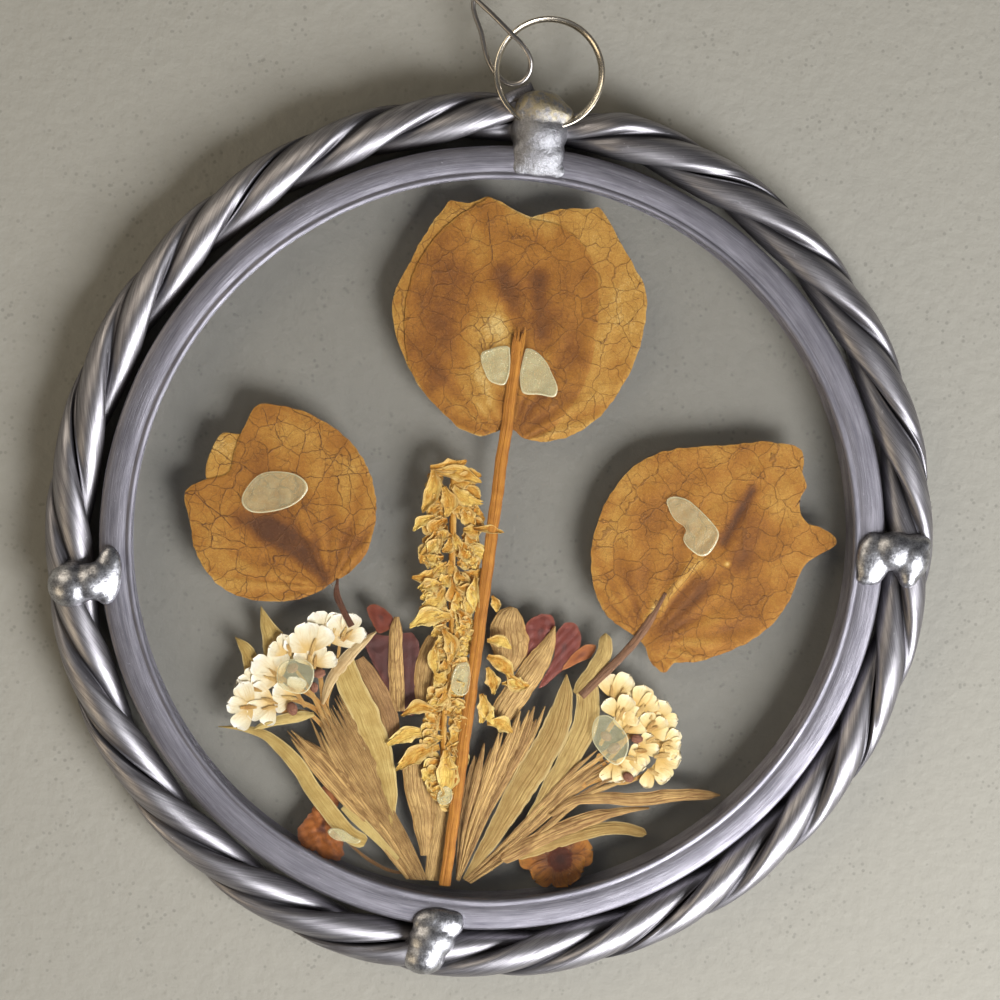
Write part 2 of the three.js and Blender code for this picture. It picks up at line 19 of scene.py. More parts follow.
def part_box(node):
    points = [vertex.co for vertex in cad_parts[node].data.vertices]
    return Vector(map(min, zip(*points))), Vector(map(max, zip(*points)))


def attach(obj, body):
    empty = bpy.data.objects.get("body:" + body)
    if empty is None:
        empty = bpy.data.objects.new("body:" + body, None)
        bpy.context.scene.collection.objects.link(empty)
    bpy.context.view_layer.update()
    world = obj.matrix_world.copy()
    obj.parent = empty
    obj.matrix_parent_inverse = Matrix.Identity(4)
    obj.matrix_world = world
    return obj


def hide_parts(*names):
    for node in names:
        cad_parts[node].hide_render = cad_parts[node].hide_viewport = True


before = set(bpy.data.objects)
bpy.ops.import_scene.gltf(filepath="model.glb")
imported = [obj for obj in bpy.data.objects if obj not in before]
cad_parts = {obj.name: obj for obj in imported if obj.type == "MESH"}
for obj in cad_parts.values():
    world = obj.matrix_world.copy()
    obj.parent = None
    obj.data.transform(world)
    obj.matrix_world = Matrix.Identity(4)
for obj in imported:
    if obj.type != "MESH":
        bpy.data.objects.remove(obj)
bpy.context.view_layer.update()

LOG = logging.getLogger("flower_frame")

Array = np.ndarray
Rgb = tuple[float, float, float]
Points = Sequence[Sequence[float]]
MILLIMETRE = 0.001
TAU = math.tau
MEETING = 0.002
UNMARKED = (0.5, 0.0, 0.0)


# ------------------------------------------------------------------ plain sums

def paint(red: int, green: int, blue: int) -> Rgb:
    """The linear colour of a paint chip given in steps from 0 to 255."""
    return tuple(((c / 255 + 0.055) / 1.055) ** 2.4 for c in (red, green, blue))


def shaded(colour: Rgb, share: float) -> Rgb:
    """The colour at a share of its brightness."""
    return tuple(c * share for c in colour)


def glass_middle() -> tuple[float, float]:
    """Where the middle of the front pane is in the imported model, in metres."""
    low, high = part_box("front_glass")
    return (low[0] + high[0]) / 2, (low[1] + high[1]) / 2


def hump(value: Array, middle: float, width: float) -> Array:
    """A soft hump that is 1 at its middle."""
    return np.exp(-(((value - middle) / width) ** 2))


def ease(low: float, high: float, value: Array) -> Array:
    """A smooth step from 0 at low to 1 at high."""
    share = np.clip((value - low) / (high - low), 0, 1)
    return share * share * (3 - 2 * share)


class Ripple:
    """A smooth uneven surface, the sum of a few waves, about -1 to 1."""

    def __init__(self, seed: int, wavelength: float, waves: int = 6) -> None:
        """Draws the waves.

        Args:
            seed: Which draw.
            wavelength: The usual length of a wave, in the units of what it is asked about.
            waves: How many are added.
        """
        draw = np.random.default_rng(seed)
        heading = draw.uniform(0, TAU, waves)
        pitch = TAU / (wavelength * draw.uniform(0.6, 1.7, waves))
        self.across = np.stack([np.cos(heading) * pitch, np.sin(heading) * pitch])
        self.start = draw.uniform(0, TAU, waves)
        self.share = 1.6 / waves

    def __call__(self, x: Array, y: Array | float = 0.0) -> Array:
        """The height at each point."""
        x, y = np.broadcast_arrays(np.asarray(x, float), np.asarray(y, float))
        turns = np.multiply.outer(x, self.across[0]) + np.multiply.outer(y, self.across[1])
        return np.sin(turns + self.start).sum(axis=-1) * self.share


class Line:
    """A smooth line through points, asked about by its share of the whole length."""

    def __init__(self, points: Points, closed: bool = False) -> None:
        """Fits the line.

        Args:
            points: The points it goes through, in two or three measures each.
            closed: Whether it comes back to its first point.
        """
        place = np.array(points, float)
        wrap = 2 if closed else 0
        if closed:
            place = np.vstack([place[-2:], place, place[:3]])
        steps = np.linalg.norm(np.diff(place, axis=0), axis=1)
        knots = np.concatenate([[0.0], np.cumsum(steps)])
        slope = np.gradient(place, knots, axis=0)
        end = len(place) - wrap
        self.place, self.slope = place[wrap:end], slope[wrap:end]
        self.knots = knots[wrap:end] - knots[wrap]
        self.length = self.knots[-1]

    def at(self, share: Array) -> Array:
        """The places at these shares of the length, one to a row."""
        reach = np.clip(share, 0, 1) * self.length
        index = np.clip(np.searchsorted(self.knots, reach, side="right") - 1, 0, len(self.knots) - 2)
        gap = self.knots[index + 1] - self.knots[index]
        t = ((reach - self.knots[index]) / gap)[:, None]
        gap = gap[:, None]
        return (
            (2 * t**3 - 3 * t**2 + 1) * self.place[index] + (t**3 - 2 * t**2 + t) * gap * self.slope[index]
            + (3 * t**2 - 2 * t**3) * self.place[index + 1] + (t**3 - t**2) * gap * self.slope[index + 1]
        )

    def left(self, share: Array) -> Array:
        """The level direction to the left of the line at these shares of its length."""
        ahead = self.at(share + 0.004)[:, :2] - self.at(share - 0.004)[:, :2]
        ahead /= np.linalg.norm(ahead, axis=1, keepdims=True) + 1e-9
        return np.stack([-ahead[:, 1], ahead[:, 0]], axis=1)


def along(values: Sequence[float], share: Array) -> Array:
    """A smooth run through even steps of values, asked about by its share."""
    steps = np.linspace(0, 1, len(values))
    line = Line(np.stack([steps, np.array(values, float)], axis=1))
    return np.interp(share, line.at(np.linspace(0, 1, 60))[:, 0], line.at(np.linspace(0, 1, 60))[:, 1])


# ------------------------------------------------------------------ materials

def sum_of(operation: str, turned: bool = False) -> "Callable[[Value, Feed], Value]":
    """A sum of two sockets as an operator; turned takes them the other way round."""

    def work(one: "Value", other: "Feed") -> "Value":
        return one.graph.math(operation, *((other, one) if turned else (one, other)))

    return work


class Value:
    """A socket of a material's graph that takes part in sums."""

    __add__ = __radd__ = sum_of("ADD")
    __mul__ = __rmul__ = sum_of("MULTIPLY")
    __sub__ = sum_of("SUBTRACT")
    __rsub__ = sum_of("SUBTRACT", turned=True)
    __truediv__ = sum_of("DIVIDE")
    __pow__ = sum_of("POWER")

    def __init__(self, graph: "Graph", socket: bpy.types.NodeSocket) -> None:
        """Wraps the socket."""
        self.graph, self.socket = graph, socket

    def ease(self, low: float, high: float) -> "Value":
        """A smooth step from 0 at low to 1 at high; low may be the larger."""
        if low > high:
            return 1 - self.ease(high, low)
        limits = {"From Min": low, "From Max": high}
        return self.graph.node("MapRange", {"interpolation_type": "SMOOTHSTEP"}, {"Value": self, **limits})


Feed = Value | float | Sequence[float]


class Graph:
    """One material's graph of nodes, ending in a principled surface."""

    def __init__(self, name: str) -> None:
        """Starts an empty material."""
        self.material = bpy.data.materials.new(name)
        self.material.use_nodes = True
        self.tree = self.material.node_tree
        self.tree.nodes.clear()

    def node(self, kind: str, settings: Mapping[str, object] = {}, inputs: Mapping[int | str, Feed] = {},
             output: int | str = 0) -> Value:
        """Adds a shader node.

        Args:
            kind: The node's type, without its ShaderNode prefix.
            settings: Its own settings, which are made first; "stops" are a ramp's places and colours.
            inputs: The value or link of each of its sockets.
            output: The socket to go on from.

        Returns:
            That socket, ready for sums.
        """
        made = self.tree.nodes.new("ShaderNode" + kind)
        for name, setting in settings.items():
            if name == "stops":
                self.stops(made.color_ramp.elements, setting)
            else:
                setattr(made, name, setting)
        for name, given in inputs.items():
            socket = made.inputs[name]
            if isinstance(given, Value):
                self.tree.links.new(given.socket, socket)
            elif socket.type == "RGBA" and len(given) == 3:
                socket.default_value = (*given, 1.0)
            else:
                socket.default_value = given
        return Value(self, made.outputs[output])

    @staticmethod
    def stops(elements: bpy.types.ColorRampElements, stops: Sequence[tuple[float, Rgb]]) -> None:
        """Sets a ramp's stops, from left to right."""
        while len(elements) < len(stops):
            elements.new(0.5)
        for element, (place, colour) in zip(elements, stops):
            element.position = place
            element.color = (*colour, 1.0)

    def math(self, operation: str, first: Feed, second: Feed = 0.0) -> Value:
        """A sum of two numbers."""
        return self.node("Math", {"operation": operation}, {0: first, 1: second})

    def mix(self, share: Feed, first: Feed, second: Feed) -> Value:
        """A mix of two colours."""
        return self.node("Mix", {"data_type": "RGBA"}, {0: share, 6: first, 7: second}, 2)

    def ramp(self, share: Value, *stops: tuple[float, Rgb]) -> Value:
        """A colour picked from a ramp."""
        return self.node("ValToRGB", {"stops": stops}, {"Fac": share})

    def place(self) -> Value:
        """The point in millimetres about the middle of the glass."""
        x, y = glass_middle()
        shift = {"Location": (-x / MILLIMETRE, -y / MILLIMETRE, 0.0), "Scale": (1 / MILLIMETRE,) * 3}
        return self.node("Mapping", {}, {"Vector": self.node("TexCoord", {}, {}, "Object"), **shift})

    def uv(self) -> Value:
        """The piece's own map: X along or round it, Y across it or out from its middle."""
        return self.node("UVMap", {"uv_map": "UVMap"})

    def split(self, vector: Value) -> tuple[Value, Value, Value]:
        """The three measures of a vector or colour."""
        made = self.node("SeparateXYZ", {}, {0: vector})
        return tuple(Value(self, s) for s in made.socket.node.outputs)

    def join(self, x: Feed, y: Feed, z: Feed = 0.0) -> Value:
        """A vector of three measures."""
        return self.node("CombineXYZ", {}, {0: x, 1: y, 2: z})

    def tint(self) -> tuple[Value, Value, Value]:
        """The three marks painted on the piece's points."""
        return self.split(self.node("Attribute", {"attribute_name": "Tint"}, {}, "Vector"))

    def noise(self, vector: Value, scale: float, detail: float, roughness: float = 0.55) -> Value:
        """Cloudy noise between 0 and 1."""
        return self.node("TexNoise", {}, {
            "Vector": vector, "Scale": scale, "Detail": detail, "Roughness": roughness})

    def warp(self, vector: Value, scale: float, amount: float) -> Value:
        """The vector pushed about by noise."""
        push = self.node("TexNoise", {}, {"Vector": vector, "Scale": scale, "Detail": 2.0}, "Color")
        spread = {0: push, 1: (amount,) * 3, 2: (-amount / 2,) * 3}
        push = self.node("VectorMath", {"operation": "MULTIPLY_ADD"}, spread)
        return self.node("VectorMath", {"operation": "ADD"}, {0: vector, 1: push})

    def net(self, vector: Value, scale: float) -> Value:
        """The distance to the nearest edge of a net of cells."""
        return self.node("TexVoronoi", {"feature": "DISTANCE_TO_EDGE"}, {"Vector": vector, "Scale": scale})

    def bump(self, height: Value, distance: float, strength: float) -> Value:
        """A bumped normal; distance is in millimetres."""
        depth = distance * MILLIMETRE
        return self.node("Bump", {}, {"Height": height, "Distance": depth, "Strength": strength})

    def surface(self, **sockets: Feed) -> Value:
        """A principled surface, with its sockets named with underscores for spaces."""
        return self.node("BsdfPrincipled", {}, {k.replace("_", " "): v for k, v in sockets.items()})

    def finish(self, surface: Value) -> bpy.types.Material:
        """Ends the graph at its output."""
        end = self.tree.nodes.new("ShaderNodeOutputMaterial")
        self.tree.links.new(surface.socket, end.inputs["Surface"])
        return self.material


@dataclass(frozen=True)
class Finish:
    """A finish; each kind says how its surface is mixed."""

    name: str

    def make(self) -> bpy.types.Material:
        """The material."""
        graph = Graph(self.name)
        return graph.finish(self.surface(graph, graph.place()))

    def surface(self, graph: Graph, place: Value) -> Value:
        """Mixes the surface in a graph; place is the point in millimetres."""
        raise NotImplementedError


class Grain(Enum):
    """Which way the drawn lines of a lead strip run."""

    ROUND_THE_RIM = "round the rim"
    ALONG_THE_ROPE = "along the rope"


@dataclass(frozen=True)
class LeadFinish(Finish):
    """Lead strip: soft grey metal with fine lines drawn along it, darker where it has dulled.

    On the rope the first painted mark is how deep in a groove between strands a point is; there the colour is
    painted darker, as painted shade.
    """

    grain: Grain
    bright: Rgb
    dull: Rgb
    roughness: float
    relief: float

    def surface(self, graph: Graph, place: Value) -> Value:
        """Mixes the surface."""
        if self.grain is Grain.ROUND_THE_RIM:
            x, y, z = graph.split(place)
            reach = graph.math("SQRT", x * x + y * y)
            lined = graph.join(x / reach * 6.0, y / reach * 6.0, reach * 6.0 + z * 3.0)
            coarse = graph.join(x / reach * 9.0, y / reach * 9.0, reach * 1.3 + z)
            seam_shade = 0.0
        else:
            u, v, _ = graph.split(graph.uv())
            lined = graph.join(u * 50.0, v * 110.0)
            coarse = graph.join(u * 50.0, v * 22.0)
            seam_shade = graph.tint()[0].ease(0.25, 0.95) * 0.85
        fine = graph.noise(lined, 1.0, 5.0, 0.75)
        broad = graph.noise(coarse, 1.0, 3.0, 0.6)
        nicks = graph.noise(place, 1.9, 5.0, 0.75).ease(0.64, 0.7)
        tone = (fine * 0.6 + broad * 0.45 + nicks * 0.2).ease(0.28, 0.84)
        # Painted shade: on the rope the colour is darkened towards near black deep in the grooves between
        # strands.
        colour = graph.mix(seam_shade, graph.mix(tone, self.dull, self.bright), paint(44, 42, 46))
        rough = self.roughness + (1 - tone) * 0.1 + nicks * 0.15
        normal = graph.bump(fine + broad * 0.5 - nicks * 0.7, 0.09, self.relief)
        return graph.surface(Base_Color=colour, Metallic=0.95, Roughness=rough, Normal=normal)


@dataclass(frozen=True)
class SolderFinish(Finish):
    """Solder: bright where it ran, mottled and frosty where it was dabbed, with a painted warm reflection
    above a height.
    """

    frost: float
    reflection_from: float = 1000.0

    def surface(self, graph: Graph, place: Value) -> Value:
        """Mixes the surface."""
        mottle = graph.noise(place, 0.9, 4.0, 0.6)
        grit = graph.noise(place, 4.5, 5.0, 0.7)
        shine = shaded(paint(210, 210, 213), 1 - 0.4 * self.frost)
        colour = graph.mix((grit * 0.6 + mottle * 0.5).ease(0.4, 0.7), paint(130, 129, 132), shine)
        _, y, _ = graph.split(place)
        # Painted reflection: above a height the solder is tinted pale yellow, in mottled patches, in place of
        # the warm light's reflection.
        warm_reflection = y.ease(self.reflection_from, self.reflection_from + 1.4) * mottle.ease(0.35, 0.6)
        colour = graph.mix(warm_reflection * 0.7, colour, paint(176, 160, 118))
        rough = 0.27 + mottle * 0.12 + grit * (0.05 + 0.22 * self.frost)
        normal = graph.bump(mottle * 1.4 + grit * 0.6 * self.frost, 0.09 + 0.13 * self.frost, 0.7)
        return graph.surface(Base_Color=colour, Metallic=1.0, Roughness=rough, Normal=normal)


@dataclass(frozen=True)
class WireFinish(Finish):
    """Plated or plain wire with faint handling marks."""

    colour: Rgb
    roughness: float

    def surface(self, graph: Graph, place: Value) -> Value:
        """Mixes the surface."""
        marks = graph.noise(place, 1.8, 4.0, 0.65)
        colour = graph.mix(marks.ease(0.5, 0.75), self.colour, shaded(self.colour, 0.55))
        return graph.surface(Base_Color=colour, Metallic=1.0, Roughness=self.roughness + marks * 0.18,
                             Normal=graph.bump(marks, 0.02, 0.5))


@dataclass(frozen=True)
class GlassFinish(Finish):
    """Clear window glass, a little marked; light passes it to what lies under it."""

    tone: Rgb = paint(252, 252, 252)

    def surface(self, graph: Graph, place: Value) -> Value:
        """Mixes the surface."""
        smears = graph.noise(graph.warp(place, 0.05, 6.0), 0.12, 4.0, 0.6).ease(0.5, 0.85)
        body = graph.surface(Base_Color=self.tone, Roughness=0.01 + smears * 0.03, IOR=1.5,
                             Transmission_Weight=1.0)
        clear = graph.node("BsdfTransparent", {}, {"Color": paint(248, 248, 248)})
        shadow = graph.node("LightPath", {}, {}, "Is Shadow Ray")
        bounce = graph.node("LightPath", {}, {}, "Is Diffuse Ray")
        through = graph.math("MAXIMUM", shadow, bounce)
        return graph.node("MixShader", {}, {0: through, 1: body, 2: clear})


@dataclass(frozen=True)
class HuskFinish(Finish):
    """A papery seed husk: amber skin with a brown net of veins and a dotted grain.

    The first painted mark is the tone from dark to pale, the second how strong the net is.
    """

    def surface(self, graph: Graph, place: Value) -> Value:
        """Mixes the surface."""
        tone, netted, _ = graph.tint()
        cloud = graph.noise(place, 0.22, 4.0, 0.6)
        grain = graph.noise(place, 3.4, 3.0, 0.7)
        shade = tone + (cloud - 0.5) * 0.7 + (grain - 0.5) * 0.42
        colour = graph.ramp(shade, (0.0, paint(78, 44, 16)), (0.3, paint(126, 76, 22)),
                            (0.55, paint(162, 108, 36)), (0.8, paint(188, 142, 64)),
                            (1.0, paint(218, 186, 116)))
        bent = graph.warp(place, 0.5, 1.4)
        main = graph.net(bent, 0.3).ease(0.024, 0.006)
        small = graph.net(bent, 0.62).ease(0.034, 0.008)
        tiny = graph.net(graph.warp(place, 1.6, 0.4), 1.5).ease(0.06, 0.01)
        gaps = graph.noise(place, 0.3, 2.0).ease(0.3, 0.6)
        veins = main * 0.85 + small * gaps * 0.6 + tiny * gaps * 0.25
        dots = graph.noise(place, 6.5, 2.0, 0.6).ease(0.54, 0.7)
        dark = veins * netted * 0.75 + dots * 0.34
        colour = graph.mix(dark, colour, paint(96, 60, 26))
        height = cloud * 0.6 + grain * 0.35 + veins * netted * 0.5
        return graph.surface(
            Base_Color=colour, Roughness=0.62 + grain * 0.2, Specular_IOR_Level=0.28,
            Normal=graph.bump(height, 0.22, 0.65))


@dataclass(frozen=True)
class FibreFinish(Finish):
    """A dried blade, stem or petal: fibres run along it, and its margin has its own colour.

    The first painted mark shifts each strand's tone. The piece's map runs along the
    strand in X and across it in Y.
    """

    pale: Rgb
    deep: Rgb
    margin: Rgb
    ribs: float = 6.0
    depth: float = 0.75
    ribbing: float = 0.5
    margin_share: float = 0.55
    margin_from: float = 0.36

    def surface(self, graph: Graph, place: Value) -> Value:
        """Mixes the surface."""
        strand, age, _ = graph.tint()
        u, v, _ = graph.split(graph.uv())
        bent = v + (graph.noise(place, 0.5, 2.0) - 0.5) * 0.05
        wave = graph.math("SINE", bent * (TAU * self.ribs)) * 0.5 + 0.5
        fibre = graph.noise(graph.join(u * 5.0, bent * self.ribs * 2.6, strand * 9.0), 1.0, 4.0, 0.7)
        blotch = graph.noise(place, 0.55, 4.0, 0.6)
        furrow = wave**5.0
        shade = (1 - furrow) * self.ribbing * 0.3 + fibre * 0.75 + (blotch - 0.5) * 0.9 + (strand - 0.5) * 0.5
        shade = shade.ease(0.15, 0.95)
        lines = graph.net(graph.join(u * 5.0, bent * self.ribs * 1.8, strand * 9.0), 1.0).ease(0.14, 0.02)
        colour = graph.mix(shade * self.depth + (1 - self.depth) * 0.8, self.deep, self.pale)
        edge = graph.math("ABSOLUTE", v - 0.5).ease(self.margin_from, 0.5)
        colour = graph.mix(edge * self.margin_share, colour, self.margin)
        spots = graph.noise(place, 2.2, 3.0, 0.7).ease(0.62, 0.75)
        colour = graph.mix(spots * 0.35 + age * 0.6 + lines * self.ribbing * 0.7, colour, self.deep)
        height = (1 - furrow) * self.ribbing * 0.7 + fibre - lines * 0.4
        return graph.surface(
            Base_Color=colour, Roughness=0.6 + fibre * 0.22, Specular_IOR_Level=0.3,
            Normal=graph.bump(height, 0.11, 0.7))


@dataclass(frozen=True)
class PetalFinish(Finish):
    """A small petal coloured from its root out: the map's Y is 0 at the root and 1 at the rim.

    The first painted mark shifts each petal's tone.
    """

    root: Rgb
    body: Rgb
    rim: Rgb
    spread: float = 0.35
    grain: float = 0.5
    roughness: float = 0.6
    streaks: float = 0.0

    def surface(self, graph: Graph, place: Value) -> Value:
        """Mixes the surface."""
        strand, _, _ = graph.tint()
        u, v, _ = graph.split(graph.uv())
        rays = graph.noise(graph.join(u * 16.0, v * 1.2, strand * 7.0), 1.0, 3.0, 0.6)
        blotch = graph.noise(place, 1.1, 4.0, 0.65)
        reach = v + (rays - 0.5) * 0.3 + (strand - 0.5) * 0.25
        colour = graph.mix(reach.ease(self.spread * 0.3, self.spread * 1.6), self.root, self.body)
        colour = graph.mix(reach.ease(0.72, 1.0), colour, self.rim)
        faded = (blotch * 0.7 + rays * 0.5).ease(0.5, 0.85)
        colour = graph.mix(faded * self.grain, colour, self.root)
        colour = graph.mix(rays.ease(0.48, 0.66) * (1.1 - v) * self.streaks, colour, self.root)
        height = rays * 0.7 + blotch * 0.5
        return graph.surface(
            Base_Color=colour, Roughness=self.roughness + blotch * 0.15, Specular_IOR_Level=0.35,
            Normal=graph.bump(height, 0.1, 0.6))


@dataclass(frozen=True)
class GlueFinish(Finish):
    """A film of dried glue: milky, glossy, thicker and whiter at its rim."""

    body: float
    milk: Rgb = paint(232, 226, 176)

    def surface(self, graph: Graph, place: Value) -> Value:
        """Mixes the surface."""
        cloud = graph.noise(place, 0.8, 3.0, 0.6)
        _, out, _ = graph.split(graph.uv())
        rim = out.ease(0.92, 0.99)
        colour = graph.mix(rim * 0.5, self.milk, paint(238, 232, 200))
        solid = self.body + cloud * 0.24 + rim * 0.32
        return graph.surface(
            Base_Color=colour, Alpha=solid, Roughness=0.26 + cloud * 0.14, Coat_Weight=0.3,
            Normal=graph.bump(cloud * 0.5 + rim * 0.6, 0.12, 0.6))


@dataclass(frozen=True)
class FloorFinish(Finish):
    """A plain pale floor with a faint soft mottle."""

    colour: Rgb = paint(152, 149, 139)

    def surface(self, graph: Graph, place: Value) -> Value:
        """Mixes the surface."""
        mottle = graph.noise(place, 0.5, 4.0, 0.6)
        cells = graph.node("TexVoronoi", {}, {"Vector": place, "Scale": 0.95}, "Distance")
        specks = cells.ease(0.3, 0.14) * graph.noise(place, 0.16, 3.0, 0.6).ease(0.4, 0.62)
        shade = (1 - mottle) * 0.25 + specks * 0.42
        return graph.surface(
            Base_Color=graph.mix(shade, self.colour, shaded(self.colour, 0.55)), Roughness=0.9,
            Specular_IOR_Level=0.15,
            Normal=graph.bump(mottle, 0.35, 0.5))


# ------------------------------------------------------------------ the bench

def put(name: str, data: bpy.types.ID) -> bpy.types.Object:
    """Puts a mesh, a light or a camera into the scene."""
    made = bpy.data.objects.new(name, data)
    bpy.context.collection.objects.link(made)
    return made


class Skin:
    """One piece's surface while it is being shaped."""

    def __init__(self) -> None:
        """Starts with nothing but the map and the painted marks."""
        self.bm = bmesh.new()
        self.uv = self.bm.loops.layers.uv.new("UVMap")
        self.tint = self.bm.verts.layers.float_color.new("Tint")

    def patch(self, columns: int, rows: int, shape: Callable[[Array, Array], Array],
              marks: "Callable[[Array, Array, Array], Array] | Sequence[float]" = UNMARKED,
              weld: bool = False) -> None:
        """Lays a grid of faces on a shape.

        Args:
            columns: Faces along the map's X.
            rows: Faces along the map's Y.
            shape: Gives the places, one to a row, for X and Y of the map from 0 to 1.
            marks: The three painted marks, or what gives them from X, Y and the places.
            weld: Whether points that meet are merged, for a shape that closes on itself.
        """
        verts = bmesh.ops.create_grid(self.bm, x_segments=columns, y_segments=rows, size=0.5)["verts"]
        flat = np.array([v.co[:2] for v in verts]) + 0.5
        places = shape(flat[:, 0], flat[:, 1])
        if callable(marks):
            painted = marks(flat[:, 0], flat[:, 1], places)
        else:
            painted = np.tile(np.array(marks, float), (len(verts), 1))
        for vert, (u, v), place, mark in zip(verts, flat, places, painted):
            vert.co = place
            vert[self.tint] = (*mark, 1.0)
            for loop in vert.link_loops:
                loop[self.uv].uv = (u, v)
        if weld:
            bmesh.ops.remove_doubles(self.bm, verts=verts, dist=MEETING)

    def mesh(self, name: str) -> bpy.types.Mesh:
        """Hands the surface over as a mesh, which uses it up."""
        made = bpy.data.meshes.new(name)
        self.bm.to_mesh(made)
        self.bm.free()
        return made

    def face_out(self) -> None:
        """Turns every face outwards."""
        bmesh.ops.recalc_face_normals(self.bm, faces=self.bm.faces)

    def spin(self, section: Points, steps: int) -> None:
        """Turns a closed section of radii and heights once round the middle."""
        rings = []
        for turn in range(steps):
            across, along = math.cos(TAU * turn / steps), math.sin(TAU * turn / steps)
            rings.append([self.bm.verts.new((reach * across, reach * along, height))
                          for reach, height in section])
        for here, after in zip(rings, rings[1:] + rings[:1]):
            for corners in zip(here, after, after[1:] + after[:1], here[1:] + here[:1]):
                self.bm.faces.new(corners)
        self.face_out()

    def tube(self, path: Array, radii: Array, sides: int, marks: Sequence[float] = UNMARKED,
             flat: float = 1.0) -> None:
        """A closed tube along a path, rounded off at its ends.

        Args:
            path: The middle line's places, one to a row.
            radii: Its radius at each of them.
            sides: Faces round it.
            marks: The three painted marks.
            flat: Its height as a share of its width.
        """
        count = len(path)
        ahead = np.gradient(path, axis=0)
        ahead /= np.linalg.norm(ahead, axis=1, keepdims=True)
        side = np.zeros_like(path)
        start = np.cross((0.0, 0.0, 1.0), ahead[0])
        if np.linalg.norm(start) < 0.1:
            start = np.array((1.0, 0.0, 0.0))
        for i in range(count):
            start = start - ahead[i] * start.dot(ahead[i])
            start = start / np.linalg.norm(start)
            side[i] = start
        above = np.cross(ahead, side)
        path = np.vstack([path[:1], path, path[-1:]])
        radii = np.concatenate([[0.0], radii, [0.0]])
        side = np.vstack([side[:1], side, side[-1:]])
        above = np.vstack([above[:1], above, above[-1:]])

        def shape(u: Array, v: Array) -> Array:
            i = np.rint(u * (count + 1)).astype(int)
            turn = v * TAU
            reach = radii[i][:, None]
            return (path[i] + side[i] * reach * np.cos(turn)[:, None]
                    + above[i] * reach * flat * np.sin(turn)[:, None])

        self.patch(count + 1, sides, shape, marks, weld=True)


class Bench:
    """Where pieces are laid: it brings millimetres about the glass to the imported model's metres."""

    def __init__(self) -> None:
        """Sets the bench about the middle of the glass."""
        self.to_metres = Matrix.Translation((*glass_middle(), 0.0)) @ Matrix.Scale(MILLIMETRE, 4)

    def spot(self, place: Sequence[float]) -> Vector:
        """A place in millimetres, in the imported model's metres."""
        return self.to_metres @ Vector(place)

    def lay(self, skin: Skin, name: str, material: bpy.types.Material, slot: str = "",
            stands_for: Sequence[str] = (), wall: float = 0.0) -> None:
        """Makes a shaped skin one of the object's pieces.

        Args:
            skin: The surface; it is used up.
            name: The piece's name.
            material: Its finish.
            slot: The record's material slot that the finish stands in; it is not used.
            stands_for: The CAD nodes it takes the place of.
            wall: The thickness that a thin sheet is given, in millimetres.
        """
        bmesh.ops.transform(skin.bm, matrix=self.to_metres, verts=skin.bm.verts)
        for face in skin.bm.faces:
            face.smooth = True
        for edge in skin.bm.edges:
            edge.smooth = not edge.is_boundary
        mesh = skin.mesh(name)
        piece = put(name, mesh)
        mesh.materials.append(material)
        if wall:
            solid = piece.modifiers.new("wall", "SOLIDIFY")
            solid.thickness = wall * MILLIMETRE
            solid.offset = -1.0
        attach(piece, "root")
        if stands_for:
            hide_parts(*stands_for)
        LOG.info("%s: %d faces", name, len(mesh.polygons))


# ------------------------------------------------------------------ the frame

@dataclass
class GlassPanes:
    """The two glass discs, which keep their CAD shape."""

    names: tuple[str, ...] = ("back_glass", "front_glass")

    def dress(self) -> None:
        """Gives both panes their glass."""
        material = GlassFinish("clear_glass").make()
        for name in self.names:
            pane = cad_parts[name]
            pane.data.materials.clear()
            pane.data.materials.append(material)
            LOG.info("%s: dressed", name)


@dataclass
class RimCame:
    """The lead channel round both discs, with its drawn lines and its soft rounded lips.

    The two curves say how far in from the lip or the outer side a point is, and how far down.
    """

    outer: float = 52.0
    lip: float = 47.7
    heart: float = 50.9
    height: float = 6.2
    flange: float = 0.6
    lip_curve: Points = ((0.02, 0.42), (0.1, 0.2), (0.3, 0.06), (0.58, 0.01), (0.82, 0.1), (0.96, 0.13),
                         (1.16, 0.04), (2.4, 0))
    outer_curve: Points = ((1, 0.01), (0.4, 0.07), (0.12, 0.19), (0, 0.42))
    sway: float = 0.0009
    dent: float = 0.035
    steps: int = 320

    def profile(self) -> list[tuple[float, float]]:
        """The channel's section as radius and height pairs, once round."""
        top, lip, outer = self.height, self.lip, self.outer
        front = [(lip + out, top - down) for out, down in self.lip_curve]
        front += [(outer - back, top - down) for back, down in self.outer_curve]
        back = [(r, top - z) for r, z in reversed(front)]
        return [(lip, top - self.flange), *front, *back, (lip, self.flange), (self.heart, self.flange),
                (self.heart, top - self.flange)]

    def build(self, bench: Bench) -> None:
        """Spins the section round and gives it its small dents."""
        skin = Skin()
        skin.spin(self.profile(), self.steps)
        dents = Ripple(31, 2.4)
        places = np.array([v.co for v in skin.bm.verts])
        turn = np.arctan2(places[:, 1], places[:, 0])
        reach = np.hypot(places[:, 0], places[:, 1])
        top = ease(3.0, 6.0, places[:, 2])
        sway = 1 + self.sway * dents(np.cos(turn) * 4, np.sin(turn) * 4) * ease(47.0, 52.0, reach)
        for vert, s, t, dip in zip(skin.bm.verts, np.minimum(sway, 1.0), top, dents(turn * 9)):
            vert.co.x *= s
            vert.co.y *= s
            vert.co.z -= self.dent * t * max(dip, 0)
        bright, dull = paint(154, 151, 157), paint(96, 94, 101)
        lead = LeadFinish("came_lead", Grain.ROUND_THE_RIM, bright, dull, 0.44, 0.45).make()
        bench.lay(skin, "rim_came_piece", lead, "came_lead", ["rim_came"])


